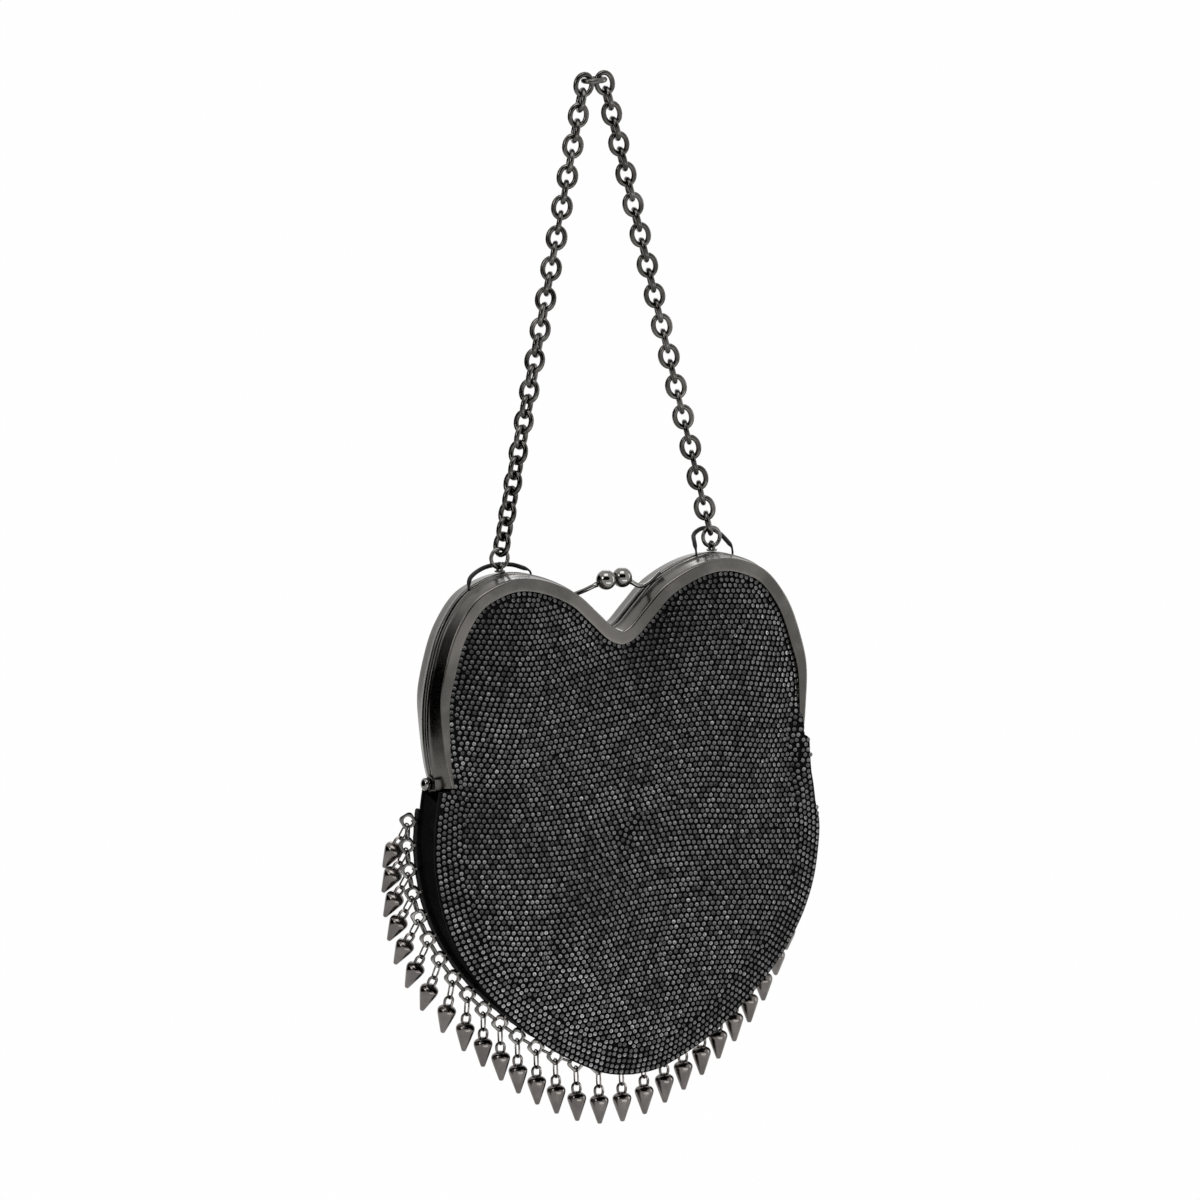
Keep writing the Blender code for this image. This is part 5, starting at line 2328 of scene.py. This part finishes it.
@dataclass
class Studio:
    """Camera, soft lights, black cards, pale floor and white surroundings."""

    turn: float = 28.0
    rise: float = 8.3
    roll: float = 1.4
    millimetres_per_pixel: float = 0.375
    origin_pixel: tuple = (594.0, 80.0)
    picture_pixels: float = 1200.0
    camera_away: float = 1.6
    floor_size: float = 30.0
    floor_z: float = -1.1
    floor_white: float = 0.985
    white_rays: tuple = ("Is Camera Ray", "Is Glossy Ray", "Is Transmission Ray")
    dim: float = 0.60

    @property
    def aim(self) -> Vector:
        """Middle of the bag, where lamps and cards look."""
        return Vector((0.0, 0.0, -0.22))

    def build(self) -> None:
        """Set up everything that isn't part of the object."""
        self.camera()
        self.card("card_camera_side", -28.0, 26.0, 3.0, (5.0, 2.2))
        self.card("card_rear_left", -116.0, 2.0, 2.8, (4.8, 3.6))
        self.floor()
        self.world()
        self.lights()
        bpy.context.scene.view_settings.view_transform = "Standard"

    def axes(self) -> tuple:
        """Work out where the camera's sides point before its roll.

        Returns:
            Its right, up and back directions.
        """
        t, e = math.radians(self.turn), math.radians(self.rise)
        right = Vector((math.cos(t), -math.sin(t), 0.0))
        up = Vector((math.sin(t) * math.sin(e), math.cos(t) * math.sin(e), math.cos(e)))
        return right, up, right.cross(up)

    def camera(self) -> None:
        """Place the camera at the viewing angle of the photograph."""
        right, up, back = self.axes()
        r = math.radians(self.roll)
        x = right * math.cos(r) - up * math.sin(r)
        y = right * math.sin(r) + up * math.cos(r)
        scale = self.millimetres_per_pixel / 1000
        half = self.picture_pixels / 2
        origin_x, origin_y = self.origin_pixel
        centre = x * ((half - origin_x) * scale) - y * ((half - origin_y) * scale)
        data = bpy.data.cameras.new("camera")
        data.type = "ORTHO"
        data.ortho_scale = self.picture_pixels * scale
        item = bpy.data.objects.new("camera", data)
        bpy.context.scene.collection.objects.link(item)
        turned = Matrix((x, y, back)).transposed().to_4x4()
        item.matrix_world = Matrix.Translation(centre + back * self.camera_away) @ turned
        bpy.context.scene.camera = item

    @staticmethod
    def surface(
        name: str, values: dict, other: tuple, kinds: Sequence[str], share: float = 1.0,
    ) -> Material:
        """Build a material that some kinds of ray see as something else.

        Args:
            name: Name of the material.
            values: Inputs of its Principled shader.
            other: Type and inputs of the shader that those rays see.
            kinds: The kinds of ray, as outputs of the light path node.
            share: How much of the other shader they see.

        Returns:
            The material.
        """
        material = bpy.data.materials.new(name)
        material.use_nodes = True
        nodes = material.node_tree.nodes
        sheet = Sheet(material.node_tree)
        shader = nodes["Principled BSDF"]
        sheet.feed(shader, values)
        seen = sheet.math("MULTIPLY", sheet.rays(*kinds), share)
        second = sheet.add(*other)
        mixed = sheet.add(
            "ShaderNodeMixShader", {0: seen, 1: shader.outputs[0], 2: second.outputs[0]},
        )
        sheet.feed(nodes["Material Output"], {"Surface": mixed.outputs[0]})
        return material

    def floor(self) -> None:
        """Lay a pale floor well under the hanging bag."""
        deselect()
        bpy.ops.mesh.primitive_plane_add(size=self.floor_size, location=(0.0, 0.0, self.floor_z))
        item = bpy.context.object
        item.name = "floor"
        item.data.materials.append(self.surface(
            "floor_white", {"Base Color": (0.92, 0.92, 0.92, 1.0), "Roughness": 0.9},
            ("ShaderNodeEmission", {"Color": (1.0, 1.0, 1.0, 1.0), "Strength": 1.0}),
            self.white_rays, self.floor_white,
        ))

    def world(self) -> None:
        """Set up surroundings that are seen white and light the object more softly."""
        world = bpy.data.worlds.new("studio")
        bpy.context.scene.world = world
        world.use_nodes = True
        sheet = Sheet(world.node_tree)
        sheet.feed(world.node_tree.nodes["Background"], {
            "Color": (1.0, 1.0, 1.0, 1.0),
            "Strength": sheet.ramp(sheet.rays(*self.white_rays), self.dim, 1.0),
        })

    @staticmethod
    def toward(turn: float, rise: float) -> Vector:
        """Direction from the bag, by degrees to the right of the front and degrees up."""
        a, b = math.radians(turn), math.radians(rise)
        return Vector((math.sin(a) * math.cos(b), -math.cos(a) * math.cos(b), math.sin(b)))

    def card(self, name: str, turn: float, rise: float, away: float, size: tuple) -> None:
        """Stand up one black card that the bag's polished metal reflects.

        Camera and diffuse rays pass through it, so it isn't seen and takes no light away.

        Args:
            name: Name of the card.
            turn: Degrees to the right of the front.
            rise: Degrees up.
            away: Distance from the bag.
            size: Width and height.
        """
        deselect()
        bpy.ops.mesh.primitive_plane_add(size=1.0)
        item = bpy.context.object
        item.name = name
        item.scale = (*size, 1.0)
        direction = self.toward(turn, rise)
        place = along(direction, Z_AXIS, self.aim + direction * away)
        item.matrix_world = place @ item.matrix_basis
        black = {"Base Color": (0.004, 0.004, 0.004, 1.0), "Roughness": 1.0}
        item.data.materials.append(self.surface(
            name, {**black, "Specular IOR Level": 0.0}, ("ShaderNodeBsdfTransparent",),
            ("Is Camera Ray", "Is Diffuse Ray"),
        ))

    def lights(self) -> None:
        """Set up the soft boxes: turn and rise in degrees, distance, size and brightness."""
        for name, turn, rise, away, size, bright in (
            ("key", -72.0, 28.0, 1.5, (0.45, 0.45), 6.5),
            ("top", -24.0, 70.0, 1.4, (0.90, 0.70), 3.6),
            ("strip_right", 72.0, 5.0, 1.5, (0.14, 1.1), 7.0),
            ("low_front", 4.0, -30.0, 1.4, (1.45, 0.42), 2.5),
            ("rear", 150.0, 32.0, 1.5, (0.50, 0.30), 4.0),
        ):
            self.box(name, self.aim + self.toward(turn, rise) * away, size, bright)

    def box(self, name: str, place: Vector, size: tuple, bright: float) -> None:
        """Add one soft box that looks at the bag.

        Args:
            name: Name of the light.
            place: Where it stands.
            size: Width and height.
            bright: Brightness of its face.
        """
        data = bpy.data.lights.new(name, "AREA")
        data.shape = "RECTANGLE"
        data.size, data.size_y = size
        data.energy = bright * size[0] * size[1] * math.pi
        item = bpy.data.objects.new(name, data)
        bpy.context.scene.collection.objects.link(item)
        item.matrix_world = along(place - self.aim, Z_AXIS, place)


FRONT_DENTS = (
    Dent(-0.0190, -0.3190, 0.0190, 0.0185, 0.0038),
    Dent(-0.0375, -0.3250, 0.0038, 0.0150, -0.0012, 4.0),
    Dent(-0.0420, -0.2940, 0.0130, 0.0100, 0.0013),
    Dent(-0.0630, -0.3200, 0.0100, 0.0180, 0.0012),
    Dent(0.0440, -0.3180, 0.0200, 0.0170, 0.0020),
    Dent(0.0120, -0.3300, 0.0040, 0.0160, -0.0011, -12.0),
    Dent(0.0030, -0.2450, 0.0060, 0.0160, -0.0007),
    Dent(0.0500, -0.2850, 0.0180, 0.0060, -0.0008, 30.0),
    Dent(-0.0100, -0.2780, 0.0250, 0.0070, -0.0008, 15.0),
)
REAR_DENTS = (
    Dent(0.0180, -0.3180, 0.0200, 0.0180, 0.0022),
    Dent(-0.0350, -0.3150, 0.0180, 0.0160, 0.0018),
    Dent(-0.0080, -0.3250, 0.0045, 0.0170, -0.0010, 10.0),
    Dent(0.0000, -0.2500, 0.0070, 0.0180, -0.0008),
)


def main() -> None:
    """Build every sub-assembly in order."""
    logging.basicConfig(level=logging.INFO, format="%(message)s")
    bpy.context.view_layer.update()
    finishes = Finishes()
    Chain(finishes).build()
    ClaspFrame(finishes).build()
    KissLock(finishes).build()
    StrapLoops(finishes).build()
    Panel(finishes, Side.FRONT, 1.0, 1.0, FRONT_DENTS).build()
    Panel(finishes, Side.REAR, OUTLINE.rear_width, OUTLINE.rear_depth, REAR_DENTS).build()
    Gusset(finishes).build()
    Fringe(finishes).build()
    Studio().build()


if __name__ == "__main__":
    main()
